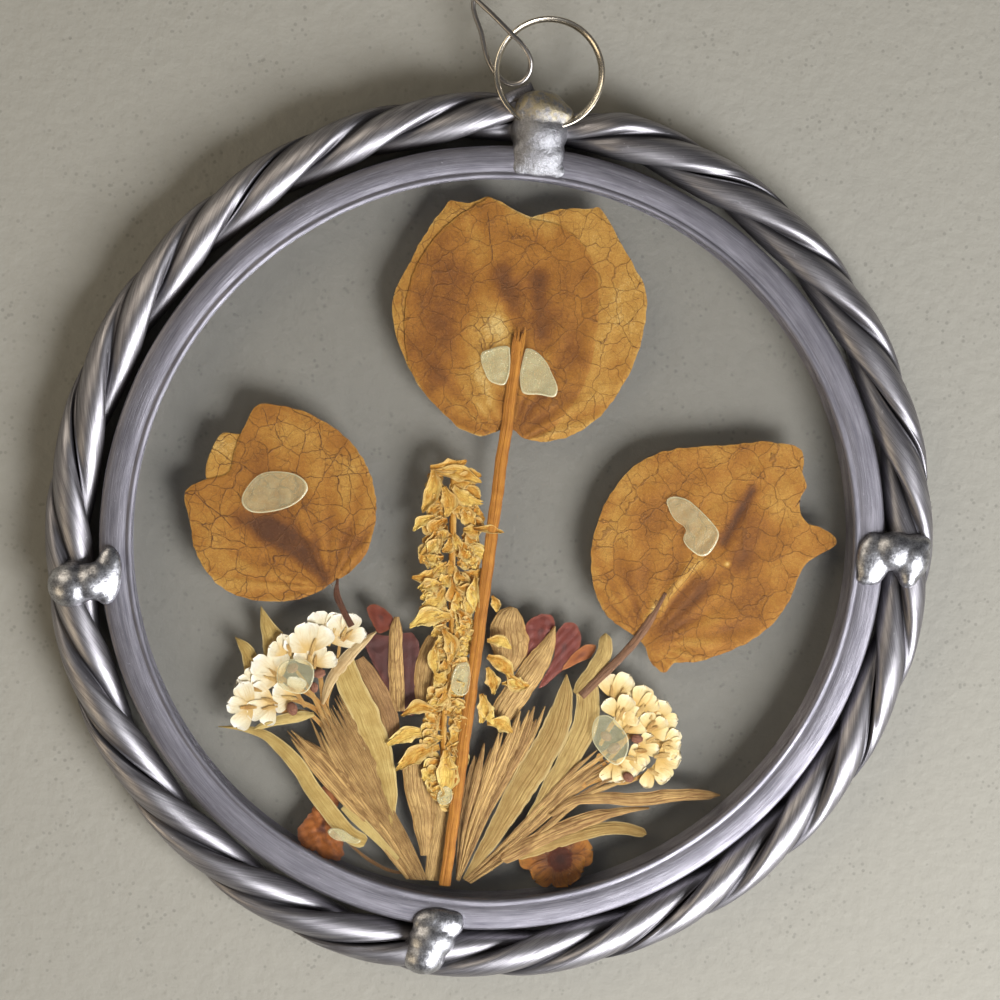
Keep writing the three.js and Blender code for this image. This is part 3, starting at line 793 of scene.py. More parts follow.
@dataclass
class TwistedBorder:
    """The lead rope round the channel: a pinched strip, twisted, with its slot running round it.

    The slot comes to the inner side at each of the crossings, in degrees clockwise from the ring.
    The rope is pressed down where the ring lies over it, by a share of its height. Each strand
    has its crest at a share of its own width, and the grooves between them narrow with keenness.
    """

    centre: float = 55.85
    half_width: float = 3.23
    half_height: float = 3.48
    inner: float = 52.62
    crossings: tuple[float, ...] = (13.5, 55.5, 98.4, 138.9, 180.7, 222.3, 264.9, 307.5, 347.7)
    start: float = 2.0
    end: float = 358.0
    taper: float = 9.0
    pressed: float = 355.3
    pressed_width: float = 2.4
    pressed_by: float = 0.16
    steps: int = 980
    strands: int = 3
    groove: float = 0.46
    crest: float = 0.28
    keenness: float = 2.7
    wander: float = 0.012
    tail_radius: float = 0.72
    tail: Points = ((-9.6, 55.0, 3.4), (-6.4, 57.0, 4.9), (-1.9, 59.7, 5.1))

    def section(self) -> tuple[Array, Array, Array]:
        """The strip's section from the slot round: angles, reaches and how far into a groove each is."""
        slot = np.array([0.0, 1.1, 2.2, 3.0, 4.2, 6.0, 8.5])
        rest = np.linspace(12.0, 348.0, 57)
        angle = np.radians(np.concatenate([slot, rest, 360 - slot[::-1]]))
        across = np.mod(angle * self.strands / TAU, 1.0)
        flank = np.where(across < self.crest, self.crest, 1 - self.crest)
        groove = (np.abs(across - self.crest) / flank) ** self.keenness
        hinge = np.degrees(np.minimum(angle, TAU - angle))
        reach = 1 + 0.09 * hump(hinge, 5.5, 3.2)
        reach -= 0.26 * (1 - ease(2.0, 3.2, hinge))
        return angle, reach, groove

    def size(self, gap: Array) -> Array:
        """How thick the rope is at a distance from its nearer end."""
        return 0.68 + 0.32 * ease(0.0, self.taper, gap)

    def build(self, bench: Bench) -> None:
        """Twists the section along the ring and closes both ends."""
        skin = Skin()
        angle, reach, groove = self.section()
        turns = np.arange(len(self.crossings), dtype=float)
        slope_start = 1 / (self.crossings[1] - self.crossings[0])
        slope_end = 1 / (self.crossings[-1] - self.crossings[-2])
        wobble = Ripple(7, 17.0)
        swell = Ripple(8, 9.0)

        def shape(u: Array, v: Array) -> Array:
            step = np.rint(u * (self.steps + 2)).astype(int) - 1
            closing = (step < 0) | (step > self.steps)
            bearing = self.start + (self.end - self.start) * np.clip(step, 0, self.steps) / self.steps
            phase = np.interp(bearing, self.crossings, turns)
            phase += np.minimum(bearing - self.crossings[0], 0) * slope_start
            phase += np.maximum(bearing - self.crossings[-1], 0) * slope_end
            phase += self.wander * wobble(bearing)
            length = np.radians(bearing) * self.centre
            whole = np.radians(self.end) * self.centre
            gap = np.minimum(length - np.radians(self.start) * self.centre, (whole - length) * 4.5)
            size = self.size(gap)
            i = np.rint(v * (len(angle) - 1)).astype(int)
            lean = phase * TAU + angle[i]
            lobe = reach[i] - self.groove * groove[i] * (1 + 0.42 * np.cos(lean))
            lobe *= size * (1 + self.wander * swell(bearing + i * 0.02)) * np.where(closing, 0.02, 1.0)
            middle = self.inner + self.half_width * size
            r = np.minimum(middle - self.half_width * lobe * np.cos(lean), self.centre + self.half_width)
            z = self.half_height * size + self.half_height * lobe * np.sin(lean) * 0.985
            z *= 1 - self.pressed_by * hump(bearing, self.pressed, self.pressed_width)
            theta = np.radians(90.0 - bearing)
            return np.stack([r * np.cos(theta), r * np.sin(theta), z], axis=1)

        def marks(u: Array, v: Array, place: Array) -> Array:
            # The first mark is how deep a point lies in a groove between strands; the lead finish paints
            # shade there.
            seam_shade = groove[np.rint(v * (len(angle) - 1)).astype(int)]
            return np.column_stack([seam_shade, 0 * u, 0 * u])

        skin.patch(self.steps + 2, len(angle) - 1, shape, marks, weld=True)
        tail = Line(self.tail).at(np.linspace(0, 1, 16))
        skin.tube(tail, np.full(16, self.tail_radius), 12, (0.0, 0.0, 0.0), flat=0.4)
        skin.face_out()
        bright, dull = paint(196, 193, 196), paint(104, 101, 105)
        lead = LeadFinish("rope_lead", Grain.ALONG_THE_ROPE, bright, dull, 0.38, 0.28).make()
        bench.lay(skin, "twisted_border_piece", lead, "rope_lead", ["twisted_border"])


@dataclass
class SolderJoint:
    """A lump of solder run together from drops: each is place x, y, z and half sizes x, y, z."""

    name: str
    drops: tuple[tuple[float, ...], ...]
    frost: float
    reflection_from: float = 1000.0
    voxel: float = 0.25
    smoothing: int = 16

    def build(self, bench: Bench) -> None:
        """Joins the drops, melts them together and lays the lump."""
        skin = Skin()
        for x, y, z, rx, ry, rz in self.drops:
            size = Matrix.Translation((x, y, z)) @ Matrix.Diagonal((rx, ry, rz, 1.0))
            bmesh.ops.create_icosphere(skin.bm, subdivisions=4, radius=1.0, matrix=size)
        mesh = skin.mesh(self.name + "_drops")
        rough = put(self.name + "_drops", mesh)
        melt = rough.modifiers.new("melt", "REMESH")
        melt.mode = "VOXEL"
        melt.voxel_size = self.voxel
        ease_off = rough.modifiers.new("ease", "SMOOTH")
        ease_off.iterations = self.smoothing
        finer = rough.modifiers.new("finer", "SUBSURF")
        finer.levels = finer.render_levels = 1
        graph = bpy.context.evaluated_depsgraph_get()
        melted = bmesh.new()
        melted.from_mesh(rough.evaluated_get(graph).data)
        bpy.data.objects.remove(rough)
        bpy.data.meshes.remove(mesh)
        lump = Skin()
        lump.bm.free()
        lump.bm = melted
        material = SolderFinish(f"{self.name}_metal", self.frost, self.reflection_from).make()
        bench.lay(lump, self.name + "_piece", material, "solder", [self.name])


@dataclass
class HangingRing:
    """The plated ring set in the top joint: a flattened wire, sloped on its inner side."""

    place: tuple[float, float, float] = (-0.1, 61.7, 6.3)
    outer: float = 7.28
    steps: int = 180
    section: tuple[tuple[float, float], ...] = (
        (0.0, 0.1), (-0.03, 0.32), (-0.12, 0.45), (-0.24, 0.48), (-0.36, 0.44), (-0.62, 0.18),
        (-0.8, -0.1), (-0.82, -0.3), (-0.7, -0.44), (-0.4, -0.48), (-0.12, -0.44), (-0.02, -0.2),
    )

    def build(self, bench: Bench) -> None:
        """Turns the section round the ring's middle."""
        skin = Skin()
        skin.spin([(self.outer + reach, height) for reach, height in self.section], self.steps)
        bmesh.ops.translate(skin.bm, vec=self.place, verts=skin.bm.verts)
        nickel = WireFinish("ring_nickel", paint(224, 214, 196), 0.16).make()
        bench.lay(skin, "hanging_ring_piece", nickel, "nickel_wire", ["hanging_ring"])


@dataclass
class WireHanger:
    """The steel wire looped through the ring, wrapped on itself and bent to an open hook."""

    radius: float = 0.33
    crossing: tuple[float, float, float] = (-10.6, 69.9, 6.4)
    shank_end: tuple[float, float, float] = (-22.4, 83.5, 1.6)
    loop: tuple[tuple[float, float, float], ...] = (
        (-8.4, 68.2, 7.0), (-5.9, 66.2, 7.25), (-3.7, 64.4, 7.1), (-2.75, 62.9, 6.8), (-2.7, 61.5, 6.4),
        (-3.6, 60.1, 5.9), (-5.1, 59.75, 5.55), (-6.6, 60.6, 5.35), (-8.0, 62.3, 5.35), (-9.3, 65.6, 5.45),
    )
    hook_radius: float = 4.2
    hook_sweep: float = 215.0
    hook_points: int = 9
    hook_height: float = 0.7
    lowest: float = 0.36
    wrap_turns: int = 2
    wrap_length: float = 3.6
    wrap_radius: float = 0.76

    def route(self) -> list[Vector]:
        """The wire's middle line from the hook's tip to the end of the wrap."""
        crossing, end = Vector(self.crossing), Vector(self.shank_end)
        ahead = (end - crossing).normalized()
        across = Vector((0, 0, 1)).cross(ahead).normalized()
        above = ahead.cross(across)
        centre = end + across * self.hook_radius
        points = []
        for i in range(self.hook_points):
            turn = math.radians(self.hook_sweep * (1 - i / self.hook_points))
            point = centre - across * self.hook_radius * math.cos(turn)
            point += ahead * self.hook_radius * math.sin(turn)
            point.z = max(point.z, self.hook_height)
            points.append(point)
        points += [end, end.lerp(crossing, 0.5), crossing]
        points += [Vector(p) for p in self.loop]
        steps = 8 * self.wrap_turns
        for i in range(steps + 1):
            turn = -math.pi / 2 - TAU * i / 8
            points.append(crossing + ahead * (0.4 + self.wrap_length * i / steps)
                          + across * self.wrap_radius * math.cos(turn)
                          + above * self.wrap_radius * math.sin(turn))
        return points

    def build(self, bench: Bench) -> None:
        """Draws the wire along its route."""
        skin = Skin()
        path = Line(self.route()).at(np.linspace(0, 1, 620))
        path[:, 2] = np.maximum(path[:, 2], self.lowest)
        radii = np.full(len(path), self.radius)
        radii[[0, -1]] *= 0.75
        skin.tube(path, radii, 14)
        skin.face_out()
        steel = WireFinish("hanger_steel", paint(170, 164, 158), 0.22).make()
        bench.lay(skin, "wire_hanger_piece", steel, "steel_wire", ["wire_hanger"])


# ------------------------------------------------------------------ the specimens

FLOOR_OF_GAP = 2.39
ROOF_OF_GAP = 3.92
LOWEST_LAYER = 2.44
LAYER_STEP = 0.1
THICK_SKIN = 0.05
THIN_SKIN = 0.035


def within_gap(height: Array) -> Array:
    """Heights kept between the two panes."""
    return np.clip(height, FLOOR_OF_GAP, ROOF_OF_GAP)


def layer(number: int) -> float:
    """The height of one of the thin layers that the blades lie in."""
    return LOWEST_LAYER + LAYER_STEP * number


def smudges(marks: Points, x: Array, y: Array) -> Array:
    """Soft marks, each running from x, y to x, y with a width and an amount, added up."""
    total = np.zeros_like(x)
    for x0, y0, x1, y1, width, amount in marks:
        run = np.array((x1 - x0, y1 - y0))
        share = ((x - x0) * run[0] + (y - y0) * run[1]) / max(run.dot(run), 1e-6)
        share = np.clip(share, 0, 1)
        away = np.hypot(x - x0 - share * run[0], y - y0 - share * run[1])
        total += amount * hump(away, 0.0, width)
    return total


@dataclass(frozen=True)
class HuskSheet:
    """One papery wall of a husk, drawn out from a middle point to an outline.

    Its tone runs from 0, dark, to 1, pale; netted is how strong its veins are.
    """

    outline: Points
    middle: tuple[float, float]
    height: float
    tone: float
    netted: float


@dataclass
class Husk:
    """A pressed seed husk: its walls, its raised veins and its stalk.

    Folds and tones are soft marks: x, y, x, y, width and amount. Folds are in
    millimetres of height. Pleats spread from the root.
    """

    name: str
    root: tuple[float, float]
    sheets: tuple[HuskSheet, ...]
    veins: tuple[Points, ...]
    folds: Points
    tones: Points
    stalk: Points = ()
    stalk_width: float = 0.9
    stalk_pale: Rgb = paint(106, 64, 38)
    stalk_deep: Rgb = paint(62, 34, 20)
    pleats: int = 11
    seed: int = 1

    def pleat(self, x: Array, y: Array) -> Array:
        """The pleats that spread from the root, -1 to 1, fading out with distance."""
        turn = np.arctan2(y - self.root[1], x - self.root[0])
        far = np.hypot(x - self.root[0], y - self.root[1])
        uneven = Ripple(self.seed + 2, 0.9)(turn) + 0.4 * Ripple(self.seed, 7.0)(x, y)
        wave = np.sin(turn * self.pleats * 2 + 1.6 * uneven)
        return wave * ease(1.0, 4.0, far) * (1 - ease(9.0, 24.0, far))

    def relief(self, x: Array, y: Array) -> Array:
        """The height of the crinkled wall over its level."""
        crinkle, fine = Ripple(self.seed, 7.0), Ripple(self.seed + 1, 2.6)
        return (0.08 * crinkle(x, y) + 0.035 * fine(x, y) + 0.05 * self.pleat(x, y)
                + smudges(self.folds, x, y))

    def wall(self, skin: Skin, sheet: HuskSheet, seed: int) -> None:
        """Lays one wall.

        Args:
            skin: What it is added to.
            sheet: Its outline and height.
            seed: Which draw of ragged edge.
        """
        outline = Line(sheet.outline, closed=True)
        ragged = Ripple(seed, 1.7)
        middle = np.array(sheet.middle)

        def shape(u: Array, v: Array) -> Array:
            rim = outline.at(1 - u)[:, :2]
            out = 1 - (1 - v) ** 1.25
            spot = middle + (rim - middle) * (out * (1 + 0.006 * ragged(rim[:, 0], rim[:, 1])))[:, None]
            edge = -0.05 * ease(0.93, 1.0, v)
            z = sheet.height + self.relief(spot[:, 0], spot[:, 1]) + edge
            return np.column_stack([spot, within_gap(z)])

        def marks(u: Array, v: Array, place: Array) -> Array:
            x, y = place[:, 0], place[:, 1]
            tone = sheet.tone + 1.2 * smudges(self.tones, x, y)
            tone += 0.1 * ease(0.94, 1.0, v) + 0.07 * self.pleat(x, y)
            return np.column_stack([np.clip(tone, 0, 1.2), np.full_like(x, sheet.netted), 0 * v])

        skin.patch(250, 72, shape, marks, weld=True)

    def build(self, bench: Bench) -> None:
        """Lays the walls, the veins and the stalk."""
        skin = Skin()
        for number, sheet in enumerate(self.sheets):
            self.wall(skin, sheet, self.seed + 5 + number)
        paper = HuskFinish(f"{self.name}_paper").make()
        bench.lay(skin, f"{self.name}_walls", paper, "husk", [self.name], THICK_SKIN)
        ribs = Skin()
        top = self.sheets[-1].height
        for vein in self.veins:
            line = Line(vein)
            share = np.linspace(0, 1, max(12, int(line.length * 3)))
            path = line.at(share)[:, :2]
            path = path + 0.1 * Ripple(self.seed + 40, 2.0)(path[:, 0], path[:, 1])[:, None]
            z = within_gap(top + self.relief(path[:, 0], path[:, 1]) + 0.015)
            radii = 0.1 * (1 - 0.6 * share) * (1 + 0.2 * Ripple(3, 0.8)(share * line.length))
            ribs.tube(np.column_stack([path, z]), radii, 6, (0.12, 0.0, 0.0), flat=0.5)
        vein = FibreFinish(f"{self.name}_vein", paint(122, 80, 38), paint(84, 50, 24), paint(110, 70, 34))
        bench.lay(ribs, f"{self.name}_veins", vein.make(), "husk")
        if not self.stalk:
            return
        stem = Skin()
        line = Line(self.stalk)
        share = np.linspace(0, 1, 60)
        path = line.at(share)[:, :2]
        radii = self.stalk_width / 2 * (0.4 + 0.6 * ease(0.0, 0.3, share))
        radii *= 1 + 0.08 * Ripple(self.seed + 9, 3.0)(share * line.length)
        stem.tube(np.column_stack([path, np.full(60, top + 0.13)]), radii, 16, (0.5, 0.1, 0.0), flat=0.36)
        finish = FibreFinish(f"{self.name}_stalk", self.stalk_pale, self.stalk_deep, self.stalk_pale, ribs=5)
        bench.lay(stem, f"{self.name}_stalk", finish.make(), "husk")


@dataclass(frozen=True)
class Blade:
    """One dried blade or petal: its middle line and its widths along it, in even steps."""

    line: Points
    widths: tuple[float, ...]
    ribs: float = 3.0
    arch: float = 0.12
    tone: float = 0.5
    lift: float = 0.0

    def lay(self, skin: Skin, height: float, seed: int) -> None:
        """Lays the blade.

        Args:
            skin: What it is added to.
            height: The level it lies on.
            seed: Which draw of waviness.
        """
        line = Line(self.line)
        edge, waver, crinkle = Ripple(seed, 2.4), Ripple(seed + 1, 6.0), Ripple(seed + 2, 1.5)
        widest = max(self.widths)

        def shape(u: Array, v: Array) -> Array:
            spot = line.at(u)[:, :2]
            width = along(self.widths, u) * (1 + 0.06 * edge(u * line.length, v * 1.5))
            side = 2 * v - 1
            sway = 0.035 * widest * waver(u * line.length, 9.0)
            spot = spot + line.left(u) * (side * width / 2 + sway)[:, None]
            vault = self.arch * min(widest, 2.2) * (1 - side**2)
            rib = 0.014 * np.cos(TAU * self.ribs * v)
            z = height + self.lift + vault + rib + 0.05 * waver(u * line.length, 0)
            z += 0.045 * crinkle(spot[:, 0], spot[:, 1])
            return np.column_stack([spot, within_gap(z)])

        columns = max(10, int(line.length * 2.4))
        rows = max(6, int(4 * self.ribs) + 2)
        skin.patch(columns, rows, shape, (self.tone, 0.0, 0.0))


@dataclass(frozen=True)
class Sheaf:
    """Many thin strands side by side between two edges, each edge running from tips to base."""

    left: Points
    right: Points
    count: int
    ragged: float = 0.1
    spread: float = 1.9

    def strands(self, seed: int) -> list[Blade]:
        """The strands.

        Args:
            seed: Which draw.

        Returns:
            The blades, from the lowest to the highest.
        """
        draw = np.random.default_rng(seed)
        left, right = Line(self.left), Line(self.right)
        blades = []
        for number in draw.permutation(self.count):
            side = (number + 0.5 + draw.uniform(-0.3, 0.3)) / self.count
            lean = draw.uniform(-0.06, 0.06)
            start = draw.uniform(0, self.ragged)
            share = np.linspace(start, 1, 9)
            across = np.clip(side + lean * np.sin(share * 3), 0.02, 0.98)[:, None]
            one, other = left.at(share)[:, :2], right.at(share)[:, :2]
            gap = np.linalg.norm(other - one, axis=1) / self.count
            width = np.maximum(gap * self.spread * draw.uniform(0.75, 1.3), 0.3)
            width[0] *= 0.15
            width[1] *= 0.65
            blades.append(Blade(
                one * (1 - across) + other * across, tuple(width), ribs=draw.choice((1.0, 1.5, 2.0)),
                arch=draw.uniform(0.08, 0.2), tone=draw.uniform(0.12, 0.95), lift=draw.uniform(0.0, 0.3)))
        return blades


class Hue(Enum):
    """The finishes of the fan of blades, petals and leaves."""

    TAN = "tan"
    GREY_TAN = "grey tan"
    OLIVE = "olive"
    YELLOW = "yellow"
    CREAM = "cream"
    BROWN = "brown"


BLADE_FINISHES = {
    Hue.TAN: FibreFinish("tan_blade", paint(224, 184, 116), paint(106, 66, 26), paint(186, 146, 92), ribs=3.0,
                         ribbing=0.75),
    Hue.GREY_TAN: FibreFinish("striped_petal", paint(228, 190, 122), paint(126, 88, 42), paint(182, 138, 74),
                              ribs=6.0, ribbing=0.55),
    Hue.OLIVE: FibreFinish("olive_leaf", paint(198, 170, 104), paint(148, 114, 58), paint(208, 186, 130),
                           ribs=5.0, ribbing=0.4, depth=0.85),
    Hue.YELLOW: FibreFinish("yellow_leaf", paint(212, 186, 116), paint(166, 132, 64), paint(220, 200, 142),
                            ribs=5.0, ribbing=0.35, depth=0.85),
    Hue.CREAM: FibreFinish("cream_blade", paint(226, 204, 154), paint(176, 140, 88), paint(230, 212, 170),
                           ribs=3.0, ribbing=0.4),
    Hue.BROWN: FibreFinish("brown_blade", paint(186, 146, 94), paint(112, 76, 42), paint(168, 128, 80),
                           ribs=5.0, ribbing=0.5),
}


@dataclass(frozen=True)
class Foliage:
    """One piece of the fan: its layer, its finish, and its blades or its sheaf."""

    name: str
    level: int
    hue: Hue
    slot: str
    blades: tuple[Blade, ...] = ()
    sheaf: Sheaf | None = None

    def build(self, bench: Bench, finishes: Mapping[Hue, bpy.types.Material], seed: int) -> None:
        """Lays its blades.

        Args:
            bench: Where they go.
            finishes: The finish of each hue.
            seed: Which draw.
        """
        skin = Skin()
        blades = list(self.blades) + (self.sheaf.strands(seed) if self.sheaf else [])
        for number, blade in enumerate(blades):
            blade.lay(skin, layer(self.level), seed * 50 + number * 3)
        bench.lay(skin, f"{self.name}_blades", finishes[self.hue], self.slot, [self.name], THIN_SKIN)


FOLIAGE = (
    Foliage("leaf_tip_left_upper", 1, Hue.YELLOW, "olive_leaf", (
        Blade([(-30, -11.6), (-29, -14), (-27.6, -16.6), (-26.6, -19)], (0.1, 1.9, 3.4, 4.4), 2),)),
    Foliage("leaf_tip_left_lower", 2, Hue.YELLOW, "olive_leaf", (
        Blade([(-33, -16), (-31.3, -17.7), (-29.9, -20.6)], (0.1, 1.9, 2.6), 2, tone=0.3),)),
    Foliage("striped_petal_left", 1, Hue.GREY_TAN, "blade", (
        Blade([(-6.2, -12.9), (-6.9, -15.5), (-7.2, -18.5), (-7.3, -21), (-7.3, -23.4)],
              (0.9, 2.9, 3.4, 2.7, 1), 6, tone=0.35),)),
    Foliage("striped_petal_right", 1, Hue.GREY_TAN, "blade", (
        Blade([(3.5, -8.6), (3.1, -10.5), (3.2, -13), (3.5, -15.2), (3.5, -17.2)],
              (0.9, 4.3, 5.3, 4.4, 2.2), 8, tone=0.4),)),
    Foliage("upright_blade", 1, Hue.TAN, "blade", (
        Blade([(-12, -11.3), (-11.9, -14), (-11.4, -18), (-10.5, -23.9)], (0.7, 1.9, 2, 2), 2, tone=0.5),)),
    Foliage("brown_blade_left", 2, Hue.BROWN, "blade", (
        Blade([(-16.4, -17.3), (-14.2, -20.5), (-12, -24), (-10.9, -27.6)], (1.4, 2.4, 2.6, 2.3), 2),)),
    Foliage("pointed_petal", 2, Hue.GREY_TAN, "blade", (
        Blade([(9.1, -10.5), (8.5, -13.2), (6.9, -16.6), (5, -20), (3.2, -23.6)],
              (0.2, 2.3, 3.4, 3.6, 2.4), 7, tone=0.6),)),
    Foliage("centre_blades", 2, Hue.GREY_TAN, "blade", (
        Blade([(-5.2, -30.6), (-4.3, -34.5), (-4, -39)], (2.2, 2.4, 1.6), 4, tone=0.3),
        Blade([(-7.6, -30.4), (-6.9, -34), (-5.6, -38.5), (-4.9, -43)], (3.3, 3.2, 2.6, 1.2), 7, lift=0.1),
        Blade([(-3.6, -34.5), (-3.5, -38.5), (-3.8, -43), (-3.9, -46.3)], (0.8, 1.4, 1.6, 1.2), 2, tone=0.75,
              lift=0.2),
        Blade([(-2.7, -36), (-2.8, -41), (-2.9, -46.3)], (0.9, 0.9, 0.8), 2, tone=0.6, lift=0.15))),
    Foliage("left_sheaf_outer", 3, Hue.TAN, "blade", sheaf=Sheaf(
        [(-25.9, -27.3), (-21.2, -32.5), (-16.4, -36.9), (-11.4, -41.6), (-7, -46.3)],
        [(-23.8, -27.9), (-19, -30.8), (-14.2, -35.6), (-9, -40.6), (-5.6, -46.3)], 5)),
    Foliage("left_sheaf_inner", 4, Hue.TAN, "blade", sheaf=Sheaf(
        [(-22.2, -25.9), (-18.6, -31.8), (-14.4, -36.5), (-10.4, -41), (-6, -46.3)],
        [(-19.2, -21.2), (-16, -26), (-12.8, -31.2), (-10, -36.8), (-6.6, -42), (-4.3, -46.3)], 15)),
    Foliage("yellow_leaf_left", 5, Hue.YELLOW, "olive_leaf", (
        Blade([(-18.9, -17.6), (-17.3, -20.8), (-14.6, -25.2), (-12.3, -29.8), (-10.6, -34.4), (-9.6, -40.2)],
              (1.9, 3.5, 3.6, 3, 1.9, 0.5), 3, arch=0.08, tone=0.6),)),
    Foliage("light_blade_left", 6, Hue.CREAM, "blade", (
        Blade([(-14.5, -13.5), (-16.6, -15.6), (-18.7, -18.3), (-19.9, -20.7), (-20.6, -23.8)],
              (0.2, 1.3, 1.7, 1.3, 0.4), 2, tone=0.4),)),
    Foliage("grass_blade_left", 6, Hue.YELLOW, "olive_leaf", (
        Blade([(-34, -28), (-30.5, -28), (-27, -29), (-23.8, -31.6), (-20.6, -35.4), (-17.6, -38.8),
               (-14.8, -41.2), (-13, -41.9)], (0.1, 0.9, 1.5, 2, 2.1, 2.3, 2.2, 1.2), 2, tone=0.5),
        Blade([(-29.5, -28.1), (-27.6, -27), (-25.2, -26.2), (-21.6, -25.2)], (0.2, 1.2, 1.5, 0.5), 2,
              tone=0.95, lift=0.05),
        Blade([(-16.6, -37.4), (-13.6, -39.5), (-11.2, -41.5), (-8.4, -43.7)], (0.6, 1.4, 1.1, 0.5), 2,
              tone=1.2, lift=0.08))),
    Foliage("right_sheaf_inner", 3, Hue.TAN, "blade", sheaf=Sheaf(
        [(0.3, -26.6), (-0.2, -33), (-0.6, -40), (-0.3, -45.9)],
        [(9.8, -18.8), (8.2, -24.6), (5.8, -30.5), (3, -37), (1.4, -42), (0, -46)], 17, 0.2)),
    Foliage("right_sheaf_outer", 4, Hue.TAN, "blade", sheaf=Sheaf(
        [(17, -24.9), (13.2, -29.5), (9.2, -35), (5, -40.6), (0.8, -45.8)],
        [(24.2, -29.5), (20, -31), (15.6, -33.4), (11.5, -37.6), (6, -42.6), (1.6, -46.2)], 15, 0.2)),
    Foliage("olive_leaf_back", 5, Hue.OLIVE, "olive_leaf", (
        Blade([(14.4, -18.2), (14.7, -22.5), (13.2, -27.5), (10.8, -32.6), (7.8, -38.2)],
              (3, 3.4, 2.9, 2, 0.4), 4, arch=0.05, tone=0.75),)),
    Foliage("olive_leaf_front", 6, Hue.OLIVE, "olive_leaf", (
        Blade([(11.4, -16.8), (11.4, -20), (10.6, -24.5), (8.8, -29), (6.5, -34), (4, -39.5), (1.7, -44.2),
               (0.8, -45.8)], (0.2, 2.7, 3.7, 3.9, 3.5, 2.7, 1.8, 0.6), 4, arch=0.06, tone=0.4),)),
    Foliage("olive_tip_right", 7, Hue.OLIVE, "olive_leaf", (
        Blade([(15.9, -10.8), (16.1, -13.4), (14.9, -16.4), (13, -19.4)], (0.2, 2.2, 2.5, 1.2), 2,
              tone=0.8),)),
    Foliage("grass_blade_right", 7, Hue.TAN, "olive_leaf", (
        Blade([(34, -31.3), (29.6, -31.6), (22, -32.9), (17.5, -33.1), (14, -34), (11.4, -36)],
              (0.3, 1.6, 1.9, 1.7, 1.4, 0.6), 3, tone=0.4),)),
    Foliage("grass_blade_right_middle", 6, Hue.TAN, "olive_leaf", (
        Blade([(24.6, -33.9), (20, -34.9), (15, -36.8), (10, -39.6), (5.4, -42.6)],
              (0.3, 1.3, 2.1, 2.1, 0.8), 3, tone=0.3),)),
    Foliage("grass_blade_right_lower", 2, Hue.OLIVE, "olive_leaf", (
        Blade([(24.7, -37.6), (21, -37.1), (17, -37.8), (12, -39.8), (7, -42)],
              (0.2, 1.8, 2, 2.1, 0.8), 3, tone=0.3),)),
)


@dataclass
class Straw:
    """The split straw that lies over the top husk and the spike.

    Each torn fibre at its top is x, the height of its tip and its width.
    """

    line: Points = ((-1.86, -46.7), (-1.4, -28), (-0.95, -9), (-0.5, 10), (-0.05, 26.7))
    widths: tuple[float, ...] = (1.55, 1.62, 1.66, 1.62, 1.55)
    torn: Points = ((-0.6, 28.1, 0.5), (-0.15, 28.3, 0.4), (0.3, 27.8, 0.42), (0.62, 28.6, 0.46))
    height: float = 3.58

    def build(self, bench: Bench) -> None:
        """Lays the straw and its torn fibres."""
        skin = Skin()
        Blade(self.line, self.widths, 2.5, arch=0.11).lay(skin, self.height, 900)
        for number, (x, top, width) in enumerate(self.torn):
            fibre = Blade([(x - 0.1, 24.8), (x, 26.6), (x + 0.06, top)], (0.3, width, 0.12), 1.0,
                          tone=0.3 + 0.2 * number, lift=0.06)
            fibre.lay(skin, self.height + 0.05, 910 + number)
        finish = FibreFinish("straw_skin", paint(206, 142, 52), paint(150, 90, 24), paint(126, 78, 26),
                             ribs=2.0, ribbing=0.4, depth=0.8)
        bench.lay(skin, "straw_stem_skin", finish.make(), "straw", ["straw_stem"], THICK_SKIN)


